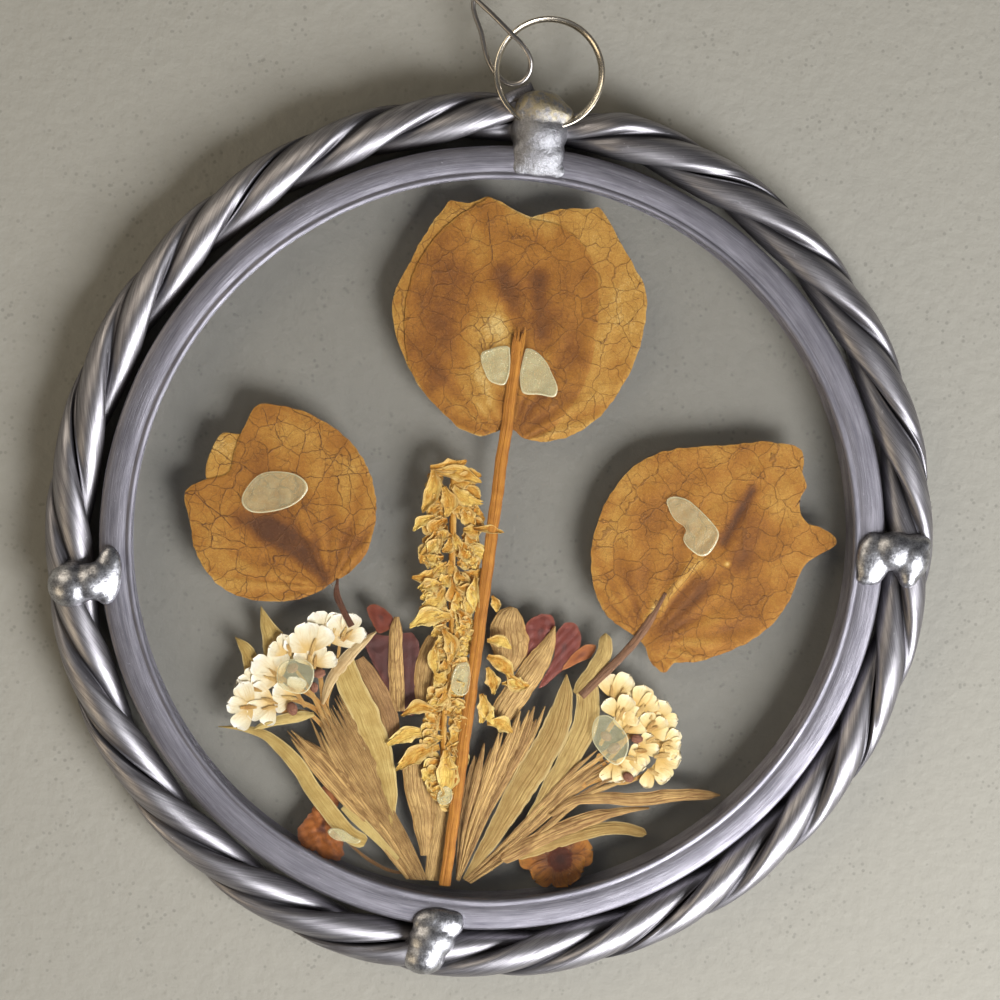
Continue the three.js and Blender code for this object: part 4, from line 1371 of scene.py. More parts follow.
@dataclass
class Spike:
    """The flower spike: a rachis set with small curled florets.

    The drawn lobes are root x, y, tip x, y, width and how far the lobe bends to its left. The
    bands are heights in the frame and how far from the rachis the florets' crowd reaches there.
    """

    rachis: Points = ((-6.6, 8.6), (-6.0, 2), (-5.4, -5), (-4.6, -12), (-4.2, -18), (-4.4, -24), (-3.8, -30),
                      (-3.5, -35))
    drawn: Points = (
        (-9.8, 9, -5, 10.3, 1.5, -0.3), (-9.2, 8.4, -2.8, 7.6, 1.7, 0.7), (-9.4, 8.8, -10.2, 2.9, 1.8, 0.6),
        (-6.6, 6.8, -2.3, 4.9, 1.6, -0.6), (-7.8, 6.6, -7, 2.6, 1.8, 0.6),
        (-8.6, 2.6, -11.2, 0.4, 1.2, -0.4), (-8.2, 0.6, -9.9, -2.7, 1.5, 0.5),
        (-7.4, -4.2, -10.7, -5.8, 1.4, 0.6), (-6.6, -6.4, -9.8, -7.2, 1.3, -0.4),
        (-6.2, -6.8, -9.3, -10, 2, 0.5), (-5, -10.4, -10.3, -12.4, 2.1, -0.7),
        (-3.2, 1.5, 0.9, 1.4, 0.9, 0.2), (-3.6, -0.2, -0.5, -1.3, 1, -0.3),
        (-3.6, -1, -1.3, -2.8, 1.3, 0.5), (-2.2, -5, -1.5, -9.7, 1.4, -0.5),
        (-3.3, -6.6, -2.8, -10.8, 1.5, 0.5), (0.2, -7.2, 1.1, -9.4, 1, 0.2),
        (-5.8, -12.2, -4.6, -17, 1.7, 0.8), (-3.9, -12.8, -2.2, -16, 1.6, -0.6),
        (0.2, -13.2, 3.6, -14, 1.4, 0.5), (0.5, -15.3, 4.2, -18, 1.8, 0.5),
        (3.4, -17.4, 6.6, -18.7, 1.7, -0.7), (2.8, -18.8, 6, -19.2, 1, 0.4),
        (0.6, -20.6, 2.6, -24.4, 1.6, -0.5), (1.4, -24.2, 5, -25.3, 1.7, 0.6),
        (0.2, -20.4, 0.6, -24.4, 1.5, 0.4), (-5.4, -23.4, -10.2, -24.3, 1.5, -1),
        (-6.2, -26.2, -11.6, -28.4, 1.8, -0.6), (-4.6, -28, -10.1, -31.8, 2, -0.6),
        (-3.7, -28.4, -3.2, -35.2, 2.3, 0.3), (-2.3, -23.5, -3.6, -28, 1.9, 0.6),
        (-4.2, -19.5, -6.8, -22.6, 1.8, 0.5), (0.6, -16.8, 1.9, -20.4, 1.5, 0.3),
        (-6.4, -14, -5.8, -19, 1.3, -0.5),
    )
    bands: Points = ((10, 2.6), (4, 3.3), (-3, 3.4), (-9, 2.9), (-13, 1.9), (-19, 1.6), (-24, 2.2),
                     (-29, 2.6), (-35, 1))
    count: int = 235
    low: float = 3.02
    high: float = 3.72

    def lobe(self, skin: Skin, lobe: Sequence[float], height: float, tone: float, seed: int) -> None:
        """Lays one curled lobe with its edges turned up.

        Args:
            skin: What it is added to.
            lobe: Its root, tip, width and bend.
            height: The level of its trough.
            tone: Its painted tone.
            seed: Which draw of curl.
        """
        x0, y0, x1, y1, width, bend = lobe
        run = np.array((x1 - x0, y1 - y0))
        left = np.array((-run[1], run[0])) / max(np.hypot(*run), 0.1)
        line = Line([(x0, y0), np.array((x0, y0)) + run * 0.45 + left * bend, (x1, y1)])
        draw = np.random.default_rng(seed)
        curl, twist, frill = draw.uniform(0.05, 0.3), draw.uniform(-0.5, 0.5), Ripple(seed, 1.3)
        age = 0.4 * float(ease(-2.0, 9.0, np.array(y0)))

        def shape(u: Array, v: Array) -> Array:
            side = 2 * v - 1
            far = u * (1 - 0.16 * side**2 + 0.08 * frill(side * 2.2, 5.0))
            wide = width * 1.3 * (0.3 + 0.7 * ease(0.0, 0.6, u)) * (1 - 0.6 * ease(0.6, 1.0, u))
            wide = wide * (1 + 0.18 * frill(u * 3, side))
            spot = line.at(far)[:, :2] + line.left(far) * (side * wide / 2)[:, None]
            z = height + curl * side**2 + 0.18 * twist * side * u
            z += 0.12 * np.sin(u * math.pi) + 0.12 * frill(u * 5, v * 4)
            return np.column_stack([spot, within_gap(z)])

        def marks(u: Array, v: Array, place: Array) -> Array:
            return np.column_stack([np.full_like(u, tone), age + (0.85 - age) * (1 - u) ** 2, 0 * u])

        skin.patch(16, 8, shape, marks)

    def build(self, bench: Bench) -> None:
        """Lays the rachis, the crowd of florets along it and the drawn lobes over them."""
        skin = Skin()
        draw = np.random.default_rng(404)
        line = Line(self.rachis)
        share = np.linspace(0, 1, 80)
        path = line.at(share)
        skin.tube(np.column_stack([path, np.full(80, 3.12)]), np.full(80, 0.42), 8, (0.2, 0.5, 0.0), flat=0.5)
        reach = np.array(self.bands)
        for number in range(self.count):
            share = (number + draw.uniform(0, 1)) / self.count
            x, y = line.at(np.array([share]))[0]
            room = np.interp(-y, -reach[:, 0], reach[:, 1])
            side = draw.choice((-1.0, 1.0))
            out = draw.uniform(0.0, 0.64) * room * side
            length = draw.uniform(2.0, 3.7)
            heading = math.radians(draw.uniform(-62, 25) if side > 0 else draw.uniform(155, 242))
            root = (x + out, y + draw.uniform(-0.6, 0.6))
            tip = (root[0] + length * math.cos(heading) * 0.85, root[1] + length * math.sin(heading))
            limit = x + side * room * 1.25
            tip = (min(tip[0], limit) if side > 0 else max(tip[0], limit), max(tip[1], -35.6))
            self.lobe(skin, (*root, *tip, draw.uniform(1.1, 2.0), draw.uniform(-0.6, 0.6)),
                      draw.uniform(self.low, self.high - 0.3), draw.uniform(0.1, 0.8), 1000 + number)
        for number, lobe in enumerate(self.drawn):
            height = self.high - 0.32 + 0.05 * (number % 3)
            self.lobe(skin, lobe, height, draw.uniform(0.35, 0.9), 2000 + number)
        finish = FibreFinish("floret_skin", paint(246, 220, 118), paint(178, 114, 14), paint(250, 234, 164),
                             ribs=3.0, ribbing=0.25, depth=0.95, margin_share=0.5, margin_from=0.2)
        bench.lay(skin, "flower_spike_florets", finish.make(), "floret", ["flower_spike"], 0.04)


@dataclass(frozen=True)
class Petals:
    """Petals round a point x, y: where each heads in degrees, how long and how wide it is."""

    x: float
    y: float
    petals: tuple[tuple[float, float, float], ...]
    height: float
    tone: float = 0.5

    @staticmethod
    def fan(x: float, y: float, reach: float, heart: tuple[float, float], height: float, tone: float,
            seed: int) -> "Petals":
        """A small flower whose petals lean away from the heart of its cluster.

        Args:
            x: Where its middle is.
            y: Where its middle is.
            reach: How far its petals reach.
            heart: Where its stem comes from.
            height: The level it lies on.
            tone: Its painted tone.
            seed: Which draw.

        Returns:
            The flower's petals.
        """
        draw = np.random.default_rng(seed)
        ahead = math.degrees(math.atan2(y - heart[1], x - heart[0])) + draw.uniform(-25, 25)
        turn = math.radians(ahead)
        petals = tuple((ahead + lean + draw.uniform(-12, 12), reach * draw.uniform(1.5, 1.9),
                        reach * draw.uniform(1.35, 1.8)) for lean in (-58, 55, 0))
        root = (x - 0.65 * reach * math.cos(turn), y - 0.65 * reach * math.sin(turn))
        return Petals(*root, petals, height, tone)

    def lay(self, skin: Skin, seed: int) -> None:
        """Lays the petals.

        Args:
            skin: What they are added to.
            seed: Which draw of frills.
        """
        for number, (heading, length, width) in enumerate(self.petals):
            turn = math.radians(heading)
            ahead = np.array((math.cos(turn), math.sin(turn)))
            right = np.array((ahead[1], -ahead[0]))
            frill = Ripple(seed + number, 1.4)
            cup = 0.1 + 0.05 * (number % 3)

            def shape(u: Array, v: Array) -> Array:
                side = 2 * u - 1
                rim = 1 + 0.05 * frill(side * 2.5, 5.0) - 0.05 * hump(side, 0.0, 0.2)
                half = width / 2 * 1.12 * (0.12 + 0.88 * v**0.7) * np.sqrt(1 - 0.985 * v**6)
                spot = (np.array((self.x, self.y)) + ahead * (v * length * rim)[:, None]
                        + right * (side * half)[:, None])
                z = (self.height + cup * side**2 * v + 0.14 * v * (1 - v) * 2 + 0.02 * number
                     + 0.04 * frill(spot[:, 0], spot[:, 1]))
                return np.column_stack([spot, within_gap(z)])

            skin.patch(12, 12, shape, (self.tone + 0.06 * (number - 2), 0.0, 0.0))


@dataclass
class FlowerCluster:
    """A cluster of small pale flowers that lean away from its heart, with their stems and buds.

    Each flower and each bud is x, y and its reach.
    """

    name: str
    heart: tuple[float, float]
    flowers: Points
    stems: tuple[Points, ...]
    buds: Points
    finish: PetalFinish
    height: float = 3.0
    seed: int = 60

    def build(self, bench: Bench) -> None:
        """Lays the petals, the middles, the buds and the stems."""
        draw = np.random.default_rng(self.seed)
        skin, middles, buds = Skin(), Skin(), Skin()
        for number, (x, y, reach) in enumerate(self.flowers):
            height = self.height + 0.09 * (number % 4)
            tone = draw.uniform(0.25, 0.85)
            fan = Petals.fan(x, y, reach, self.heart, height, tone, self.seed + number * 7)
            fan.lay(skin, self.seed + number * 11)
            away = np.array((x - self.heart[0], y - self.heart[1]))
            away = away / np.hypot(*away)
            for _ in range(2):
                lean = draw.uniform(-0.5, 0.5)
                side = np.array((-away[1], away[0])) * lean
                foot = np.array((x, y)) - away * reach + side * 0.4
                tip = np.array((x, y)) + (away * 0.1 + side) * reach
                middle = Blade([foot, (foot + tip) / 2 + side * 0.1, tip], (0.25, 0.5, 0.15), 1.0,
                               tone=draw.uniform(0.5, 1.0))
                middle.lay(middles, height + 0.22, self.seed + number)
        for x, y, reach in self.buds:
            turn = draw.uniform(0, TAU)
            step = np.array((math.cos(turn), math.sin(turn), 0.0)) * reach
            spot = np.array((x, y, self.height + 0.34))
            path = spot + np.linspace(-1, 1, 7)[:, None] * step
            buds.tube(path, reach * 0.75 * np.array((0.45, 0.8, 1, 1.05, 1, 0.75, 0.4)), 10, flat=0.45)
        for stem in self.stems:
            blade = Blade(stem, (0.4, 0.62, 0.5), 1.0, tone=draw.uniform(0.2, 0.7))
            blade.lay(middles, self.height - 0.12, self.seed)
        bench.lay(skin, f"{self.name}_petals", self.finish.make(), "cream_petal", [self.name], THIN_SKIN)
        boss = FibreFinish(f"{self.name}_middle", paint(240, 208, 134), paint(186, 130, 62),
                           paint(232, 196, 118), ribbing=0.1, depth=0.95)
        bench.lay(middles, f"{self.name}_middles", boss.make(), "cream_petal")
        husk = FibreFinish(f"{self.name}_bud", paint(168, 118, 88), paint(96, 54, 42), paint(186, 140, 104))
        bench.lay(buds, f"{self.name}_buds", husk.make(), "cream_petal")


@dataclass
class DriedPetals:
    """A dark petal pressed flat, drawn out from its middle to its outline."""

    name: str
    outline: Points
    finish: PetalFinish
    slot: str
    level: int
    seed: int
    crumple: float = 0.06

    def build(self, bench: Bench) -> None:
        """Lays the petal with its crinkles."""
        skin = Skin()
        middle = np.array(self.outline, float).mean(axis=0)
        outline = Line(self.outline, closed=True)
        crinkle, frill = Ripple(self.seed, 1.6), Ripple(self.seed + 1, 0.9)

        def shape(u: Array, v: Array) -> Array:
            rim = outline.at(1 - u)[:, :2]
            out = v * (1 + 0.5 * self.crumple * frill(rim[:, 0], rim[:, 1]))
            spot = middle + (rim - middle) * out[:, None]
            z = layer(self.level) + self.crumple * (crinkle(spot[:, 0], spot[:, 1]) + 0.6) - 0.03 * v
            return np.column_stack([spot, within_gap(z)])

        skin.patch(90, 22, shape, weld=True)
        bench.lay(skin, f"{self.name}_skin", self.finish.make(), self.slot, [self.name], THIN_SKIN)


@dataclass
class SmallFlower:
    """A small brown flower: broad ruffled petals round a dark eye."""

    name: str
    flower: Petals
    eye: tuple[float, float, float]
    seed: int

    def build(self, bench: Bench) -> None:
        """Lays the petals and the eye."""
        skin = Skin()
        self.flower.lay(skin, self.seed)
        finish = PetalFinish(f"{self.name}_petal", paint(70, 32, 8), paint(158, 96, 22), paint(174, 114, 34),
                             spread=0.5, grain=0.8, streaks=1.0)
        bench.lay(skin, f"{self.name}_petals", finish.make(), "russet_petal", [self.name], THIN_SKIN)
        eye = Skin()
        x, y, reach = self.eye
        rough = Ripple(self.seed + 3, 0.8)

        def shape(u: Array, v: Array) -> Array:
            turn = -TAU * u
            far = reach * v * (1 + 0.14 * rough(np.cos(turn) * 2, np.sin(turn) * 2))
            px, py = x + far * np.cos(turn), y + far * np.sin(turn)
            z = self.flower.height + 0.34 - 0.14 * v**2 + 0.04 * rough(px, py)
            return np.column_stack([px, py, within_gap(z)])

        eye.patch(40, 10, shape, (0.3, 0.0, 0.0), weld=True)
        boss = PetalFinish(f"{self.name}_eye", paint(48, 20, 8), paint(72, 32, 12), paint(104, 50, 18),
                           roughness=0.8)
        bench.lay(eye, f"{self.name}_eye", boss.make(), "russet_petal", (), 0.03)


@dataclass
class GluePatches:
    """The nine films of dried glue, each drawn out from its middle to its outline.

    The corners of an outline are rounded off by a share of the straight runs between them.
    """

    outlines: Mapping[str, Points]
    rounding: float = 0.08
    height: float = 3.66
    thick: float = 0.2
    thin: float = 0.06

    def build(self, bench: Bench) -> None:
        """Lays each film, domed and a little thicker at its rim."""
        for seed, (name, outline) in enumerate(self.outlines.items()):
            skin = Skin()
            corners = np.array(outline, float)
            middle = corners.mean(axis=0)
            after = np.roll(corners, -1, axis=0)
            near, far = self.rounding, 1 - self.rounding
            edges = np.stack([corners * far + after * near, corners * near + after * far], axis=1)
            line = Line(edges.reshape(-1, 2), closed=True)
            wave = Ripple(600 + seed, 2.2)

            def shape(u: Array, v: Array) -> Array:
                rim = line.at(1 - u)[:, :2]
                spot = middle + (rim - middle) * v[:, None]
                bead = 0.06 * hump(v, 0.93, 0.05)
                z = self.height + 0.05 * wave(spot[:, 0], spot[:, 1]) + bead - 0.06 * ease(0.95, 1.0, v)
                return np.column_stack([spot, within_gap(z)])

            skin.patch(80, 24, shape, weld=True)
            body = self.thin if "husk" in name or "cluster" in name else self.thick
            glue = GlueFinish(f"{name}_glue", body).make()
            bench.lay(skin, f"{name}_film", glue, "glue", [name], THICK_SKIN)


# ------------------------------------------------------------------ the arrangement

SOLDER_JOINTS = (
    # The top joint gets a painted warm reflection above 54.9 millimetres.
    SolderJoint("solder_joint_top", (
        (-0.5, 56.8, 5.2, 3.5, 2.7, 3), (-0.4, 54, 4.6, 3.8, 3.3, 3.6), (-0.3, 51.3, 5.5, 3.6, 2.6, 2),
        (-0.2, 49.7, 6, 3.5, 1.5, 0.75), (-2.4, 49.2, 6, 1.3, 1.1, 0.5), (2.3, 49.3, 6, 1.3, 1.1, 0.5),
        (2.2, 56.6, 5.6, 1.6, 1.4, 1.7), (-2.8, 56.3, 5.8, 1.3, 1.2, 1.6),
    ), 1, 54.9),
    SolderJoint("solder_joint_left", (
        (-54.8, -10.7, 5.5, 3.1, 3.2, 2.9), (-52.4, -10, 6.4, 2.6, 2.5, 2),
        (-50.2, -9, 6.4, 1.9, 4, 1.25), (-51.6, -9.6, 6.9, 2, 2.4, 1.4),
    ), 0.15),
    SolderJoint("solder_joint_right", (
        (50.4, 2.9, 6.3, 2.4, 3.7, 1.3), (53.2, 4.3, 6.4, 3.1, 2.7, 2), (55.5, 3.6, 5.6, 2.7, 3.4, 2.9),
        (55.4, 0.9, 6.2, 1.3, 1.6, 1.7), (56.8, 5.4, 5.6, 1.4, 1.4, 2.1), (49.6, 0.2, 6.3, 1.3, 1, 0.6),
    ), 0.2),
    SolderJoint("solder_joint_bottom", (
        (-2.4, -51.4, 6.3, 3.5, 2.2, 1.3), (-3, -53.6, 6.1, 3.2, 2.6, 2.2), (-3.8, -55.9, 5.1, 3.1, 2.8, 3.1),
        (-0.2, -51.2, 6.2, 1.4, 1.8, 0.8), (-4.6, -51.4, 6.2, 1.3, 1.2, 0.7),
    ), 0.2),
)

HUSKS = (
    Husk("husk_top", (0.2, 13), (
        HuskSheet((
            (-6, 45), (-3, 44), (-0.3, 43.1), (3, 44.3), (7.6, 45), (8.8, 45.2), (9.3, 44.7), (11.9, 41.3),
            (14, 38.4), (16.1, 35), (16.5, 32), (15.5, 25), (14.1, 21.6), (12, 18.1), (9, 15.4), (6, 14.1),
            (3.5, 13.8), (0, 15.1), (-3.5, 13.8), (-6, 14.3), (-9, 16.4), (-12, 19.1), (-14.5, 22.6),
            (-16.4, 26.5), (-17, 30.4), (-15.3, 35.5), (-13.5, 39.8), (-11.5, 43.2), (-11.1, 43.9),
            (-10.4, 44), (-8.5, 43.9)), (0, 28.5), 3.14, 0.7, 0.8),
        HuskSheet((
            (-6.6, 44.5), (-6, 44.95), (-5.4, 44.7), (-3, 43.8), (-0.3, 42.8), (3.5, 42.4), (7, 40.3),
            (9.2, 37), (10, 33), (10.2, 28), (9.6, 23), (7.5, 18), (4.5, 14.7), (2.5, 14), (0, 15.3),
            (-3.5, 13.9), (-6, 14.4), (-9, 16.5), (-11.5, 18.7), (-13.5, 21.2), (-15, 26), (-15.2, 31),
            (-14.4, 35), (-12.5, 38.8), (-9.5, 42.3)), (-2, 28.5), 3.33, 0.5, 0.75),
    ), (
        ((-5.9, 43), (-4.9, 38.5), (-4, 35), (-3.2, 32), (-2.3, 30), (-2, 26)),
        ((-10.8, 36), (-8.4, 32.2), (-3.4, 31.7)),
    ), (
        (-5.9, 43, -3.6, 33, 0.7, 0.1), (-3.6, 33, -2, 26, 0.9, 0.09), (-13, 24, -2, 17, 1.2, 0.07),
        (3, 40, 5.5, 24, 1.2, 0.07), (-11, 37, -8, 24, 2, -0.07), (8.5, 36, 9.3, 25, 0.8, 0.08),
    ), (
        (-10, 35, -9.6, 22, 4, -0.17), (-3.2, 28.5, -3, 28.5, 3.4, 0.22), (-4, 27, -4, 22, 2.6, 0.22),
        (-6, 22, -4, 18, 2.2, 0.2), (-3.2, 35.6, -0.3, 29, 1.3, -0.3), (1.8, 35.2, 2.6, 28.4, 1.25, -0.3),
        (6, 37, 7, 26, 2.2, -0.08), (-3, 42.5, 2.5, 42, 1.4, 0.18),
        (5, 20, 2, 16, 2.2, -0.14), (-8, 40, -6, 37, 2.2, 0.1), (11.5, 40, 14, 30, 2.4, 0.08),
    ), seed=11),
    Husk("husk_left", (-21.5, -8.2), (
        HuskSheet((
            (-38.8, 4.6), (-38.5, 8.4), (-37.2, 10.7), (-35.2, 10.8), (-32.5, 12), (-31.5, 8), (-33, 3),
            (-37, 2.4)), (-35.2, 7), 3.14, 0.78, 1),
        HuskSheet((
            (-33, 14.9), (-30, 15), (-27, 14.6), (-24, 13.4), (-21.1, 11.7), (-18.7, 9.2), (-17.1, 6.2),
            (-16.3, 3), (-16.4, -0.5), (-17.2, -3.7), (-18.9, -5.9), (-20.8, -7.3), (-22, -8.3),
            (-24.5, -9.8), (-28, -10.7), (-31.5, -10.7), (-34.9, -9.8), (-37.6, -7.6), (-39.3, -5),
            (-40.3, -1.5), (-41.2, 2.9), (-39.4, 4.2), (-35.8, 6), (-35.6, 8), (-34.5, 12)),
            (-27.5, 1.5), 3.3, 0.52, 1),
    ), (
        ((-32.5, 14.5), (-30.5, 10.5), (-29.3, 7.5)), ((-23.7, 8.7), (-21, 9), (-19.5, 8)), ((-26, 2.5),
        (-24.5, 0), (-23.5, -2.5), (-22.3, -6), (-21, -8)), ((-22.5, -3.3), (-19, -3.2), (-17.5, -2.5)),
        ((-40.3, 2.5), (-36.5, 0), (-34, -2.2), (-31, -4), (-28, -5.8), (-25.5, -7.8), (-23, -9)),
        ((-25, 12.5), (-24, 8.8), (-24.6, 6)), ((-24.3, 0), (-21.5, 1.5), (-19.5, 3.3), (-18, 2.3),
        (-18, 0)),
    ), (
        (-40, 2.4, -31, -3.9, 0.8, 0.1), (-31, -3.9, -22.5, -8.6, 0.8, 0.1), (-26, 2.5, -23, -4, 0.8, 0.09),
        (-32.5, 14, -29.4, 8, 0.8, 0.09), (-31, -0.5, -24, -3.5, 1.8, -0.08), (-19, 6, -18, 0, 1, 0.06),
    ), (
        (-33.8, -0.3, -28, -1.8, 1.5, -0.3), (-30, -1.4, -25, -3.4, 1.9, -0.42),
        (-25.5, -3.6, -22, -7, 1, -0.4), (-37, -3, -34, -7, 2.6, 0.12), (-24, 10, -20, 6, 2.6, 0.12),
        (-29, 12, -27, 9, 2.6, 0.1), (-32, 8, -32.5, 4, 1.6, -0.12), (-19, -2, -20.5, -5, 1.5, -0.14),
        (-36, -9, -27, -10, 1.2, 0.1),
    ), ((-20.4, -6.9), (-20.3, -8.9), (-19.2, -11), (-17.9, -13)), 0.85, seed=21),
    Husk("husk_right", (21.6, -11.4), (
        HuskSheet((
            (34.8, 16.9), (39.7, 15.9), (40.1, 13), (40.7, 11.5), (40.1, 10), (41.2, 6.7), (43.5, 6.1),
            (45.4, 5), (45.7, 4.2), (44.4, 3.1), (42.1, 1.3), (40.1, -4.4), (38.4, -7.4), (35.4, -10.1),
            (32, -12.1), (28.5, -13.5), (25.5, -14.1), (24.5, -15.4), (23, -14.6), (20.9, -11.5),
            (19.7, -10.7), (15.6, -8.1), (14.1, -5.8), (13.2, -3), (12.8, 0.5), (13.2, 4), (14.6, 8),
            (17.1, 11.7), (20.5, 14), (25, 15.2), (30, 16)), (27.5, 1.5), 3.26, 0.53, 0.8),
    ), (
        ((33.5, 10.5), (32.3, 8), (31.5, 5.8), (30.5, 3), (29.5, 0.8)),
        ((26.5, 0.5), (25.2, -2), (23.5, -4.5), (22, -7.2), (21, -9.5)),
        ((27.4, 0.1), (26, -2.4), (24.3, -4.9), (22.7, -7.4), (21.6, -9.6)),
        ((33, 12.5), (34.5, 12), (36, 13), (38.5, 13.8)), ((40, 9.5), (38.8, 7.5), (38, 7)),
    ), (
        (27.5, 0, 25, -2.5, 0.8, 0.12), (25, -2.5, 20.6, -9.3, 0.8, 0.12), (34, 11, 30, 1.5, 0.7, -0.12),
        (38, -6, 24, -11, 1.1, 0.06), (36, -9, 26, -12.6, 0.8, 0.06), (36, 12, 38, 2, 1.8, 0.06),
        (17, 8, 18.5, -4, 1.2, 0.06),
    ), (
        (27.5, 0, 21.6, -8, 0.9, 0.3), (33.4, 10.2, 30.4, 3, 0.8, -0.4), (28, -3.5, 24, -9, 2, -0.28),
        (34, 6, 33, 1, 1.7, -0.22), (31.2, 0, 31.3, 0.1, 0.35, 0.5), (17, 10, 15, 2, 2.2, 0.1),
        (38, 14, 37, 9, 2.2, 0.12), (20, 12, 27, 14, 1.8, 0.08), (36, -3, 33, -8, 2, -0.12),
        (19, -2, 20, -8, 1.4, -0.12),
    ), ((23.4, -4.6), (21.6, -8.6), (20.2, -11.2), (18.4, -13.7), (16.1, -16.5), (13.6, -19.5)), 1.15,
         paint(146, 106, 74), paint(92, 62, 42), seed=31),
)

PALE_PETAL = PetalFinish("pale_petal", paint(216, 180, 110), paint(240, 230, 196), paint(250, 246, 230),
                         spread=0.45, grain=0.3, streaks=0.8)
YELLOWED_PETAL = PetalFinish("yellowed_petal", paint(216, 176, 98), paint(238, 218, 160),
                             paint(246, 234, 200), spread=0.5, grain=0.35, streaks=0.8)
CLUSTERS = (
    FlowerCluster("white_cluster_left", (-22, -24), (
        (-25.6, -22.5, 1.7), (-22.3, -17.4, 1.8), (-28.4, -24.6, 1.9), (-31.2, -25.2, 2),
        (-30.6, -22.4, 1.9), (-27.9, -19.9, 2.3), (-26.4, -16.6, 1.4), (-23.4, -15.4, 2.2),
        (-20.3, -13.7, 2.3), (-18.4, -13.4, 1.8)), (((-25, -22), (-22.6, -22.6), (-20.6, -24)),
        ((-22.4, -17.6), (-21.2, -20.6), (-20.6, -23.8)),
         ((-28, -24.8), (-25, -24.8), (-22.4, -25.6)), ((-27.6, -20), (-25, -21.8), (-22.8, -24.4)),
         ((-26.5, -23.4), (-23.6, -23.8), (-21.2, -24.8), (-19.4, -27.8)),
         ((-24.6, -19.6), (-22.4, -22.2), (-20.9, -24.6), (-18.8, -29)),
         ((-21.6, -17), (-21.2, -20.5), (-20.4, -24), (-19.1, -28.6)),
         ((-29.4, -24.9), (-25.6, -25.3), (-22.4, -25.2), (-19.6, -27.4)),
         ((-19.2, -15.6), (-19.3, -19.4), (-20.1, -23.6), (-18.4, -28.2))),
        ((-21.5, -19.7, 0.8), (-24.6, -24.7, 0.9), (-22, -21.6, 0.7), (-25.1, -19.3, 0.8)), PALE_PETAL),
    FlowerCluster("white_cluster_right", (17.5, -27), (
        (22, -27.6, 1.5), (23.2, -26, 1.5), (20.6, -22.8, 1.5), (24.3, -22.6, 1.5), (19.8, -29, 1.6),
        (25.2, -29, 1.6), (26.3, -27, 1.9), (26.6, -24.9, 1.4), (25.1, -24.2, 2.1), (24.6, -20.8, 1.7),
        (22.6, -20.2, 1.9), (19.3, -20.6, 1.9), (18.4, -18, 2.1)),
        (((20.4, -28), (18.2, -28.8), (16.8, -27.2)), ((19.5, -21), (18, -23.6), (17, -26)),
         ((22.5, -27), (20, -28.8), (18.4, -29.6)), ((23, -21), (20.5, -24.8), (18.2, -28.2)),
         ((21.4, -24.2), (18.6, -26.2), (16.4, -28.4), (13.4, -32.4)),
         ((22.6, -26.6), (19.8, -28.8), (16.6, -29.4), (13.6, -33)),
         ((20.4, -28.8), (17.4, -29.8), (15, -31.8), (12.4, -34.4)),
         ((24.4, -28.8), (20.8, -30.8), (17.2, -30.8), (13.2, -33.8))),
        ((17.6, -24.6, 0.8), (21.8, -24.6, 0.8), (18.8, -26.2, 0.9), (21.2, -29.9, 0.8)),
        YELLOWED_PETAL, seed=160),
)

BURGUNDY = PetalFinish("burgundy_petal", paint(74, 28, 18), paint(106, 42, 28), paint(126, 60, 40),
                       spread=0.2, grain=0.6, roughness=0.5)
DARK_BURGUNDY = PetalFinish("dark_petal", paint(44, 18, 12), paint(70, 30, 22), paint(90, 42, 30),
                            spread=0.2, grain=0.6, roughness=0.5)
RED_PETAL = PetalFinish("red_petal", paint(72, 26, 10), paint(106, 42, 18), paint(122, 58, 26),
                        spread=0.2, grain=0.7)
DRIED_PETALS = (
    DriedPetals("burgundy_petal_left_outer", (
        (-16, -10.4), (-15.2, -9.95), (-14.2, -10.2), (-12.9, -11.1), (-12.2, -12), (-12.7, -13),
        (-14, -13.7), (-15.3, -12.2)),
        RED_PETAL, "burgundy_petal", 0, 71),
    DriedPetals("burgundy_petal_left_inner", (
        (-16.2, -14.1), (-13, -14), (-9.6, -13.4), (-8.3, -16), (-7.8, -21), (-8.5, -24.3), (-10.5, -23.8),
        (-13, -20), (-15, -17)), DARK_BURGUNDY, "burgundy_petal", 0, 72),
    DriedPetals("burgundy_petal_right_inner", (
        (5.4, -10.5), (6.6, -9.4), (8.5, -9.2), (9.2, -10.8), (8.5, -13), (6.1, -15.4)),
        BURGUNDY, "burgundy_petal", 0, 73),
    DriedPetals("burgundy_petal_right_outer", (
        (9.6, -11.2), (10.6, -10), (11.9, -10.1), (12.8, -11.6), (12.6, -14), (10.5, -16.8), (8, -19.2),
        (9.5, -14.6)), BURGUNDY, "burgundy_petal", 0, 74),
    DriedPetals("russet_petal", (
        (10.8, -16.4), (12.2, -13.9), (13.6, -12.7), (14.9, -12.6), (14.5, -14.2), (13, -15.1)),
        PetalFinish("russet_petal", paint(120, 62, 30), paint(160, 92, 44), paint(176, 112, 60)),
        "russet_petal", 1, 75),
    DriedPetals("small_flower_left", (
        (-20.4, -37.8), (-19, -34.4), (-17.2, -36.4), (-17.4, -39.6), (-16, -42), (-16, -44.4),
        (-17.5, -44.8), (-19.5, -43.8), (-21.5, -43), (-22.2, -41.4), (-21.4, -39.8)),
        PetalFinish("crumpled_petal", paint(84, 40, 14), paint(156, 88, 26), paint(120, 66, 24), spread=0.2,
                    grain=0.8), "russet_petal", 0, 76, 0.16),
)

SMALL_FLOWER = SmallFlower("small_flower_right", Petals(13.3, -42.0, (
    (20, 4.6, 4.6), (58, 4.3, 4.4), (118, 3.7, 4.2), (180, 5.4, 4.2), (226, 4.4, 4.4), (296, 3.9, 4.8),
    (340, 3.6, 4.2)), 2.5), (13.4, -42.0, 1.7), 81)

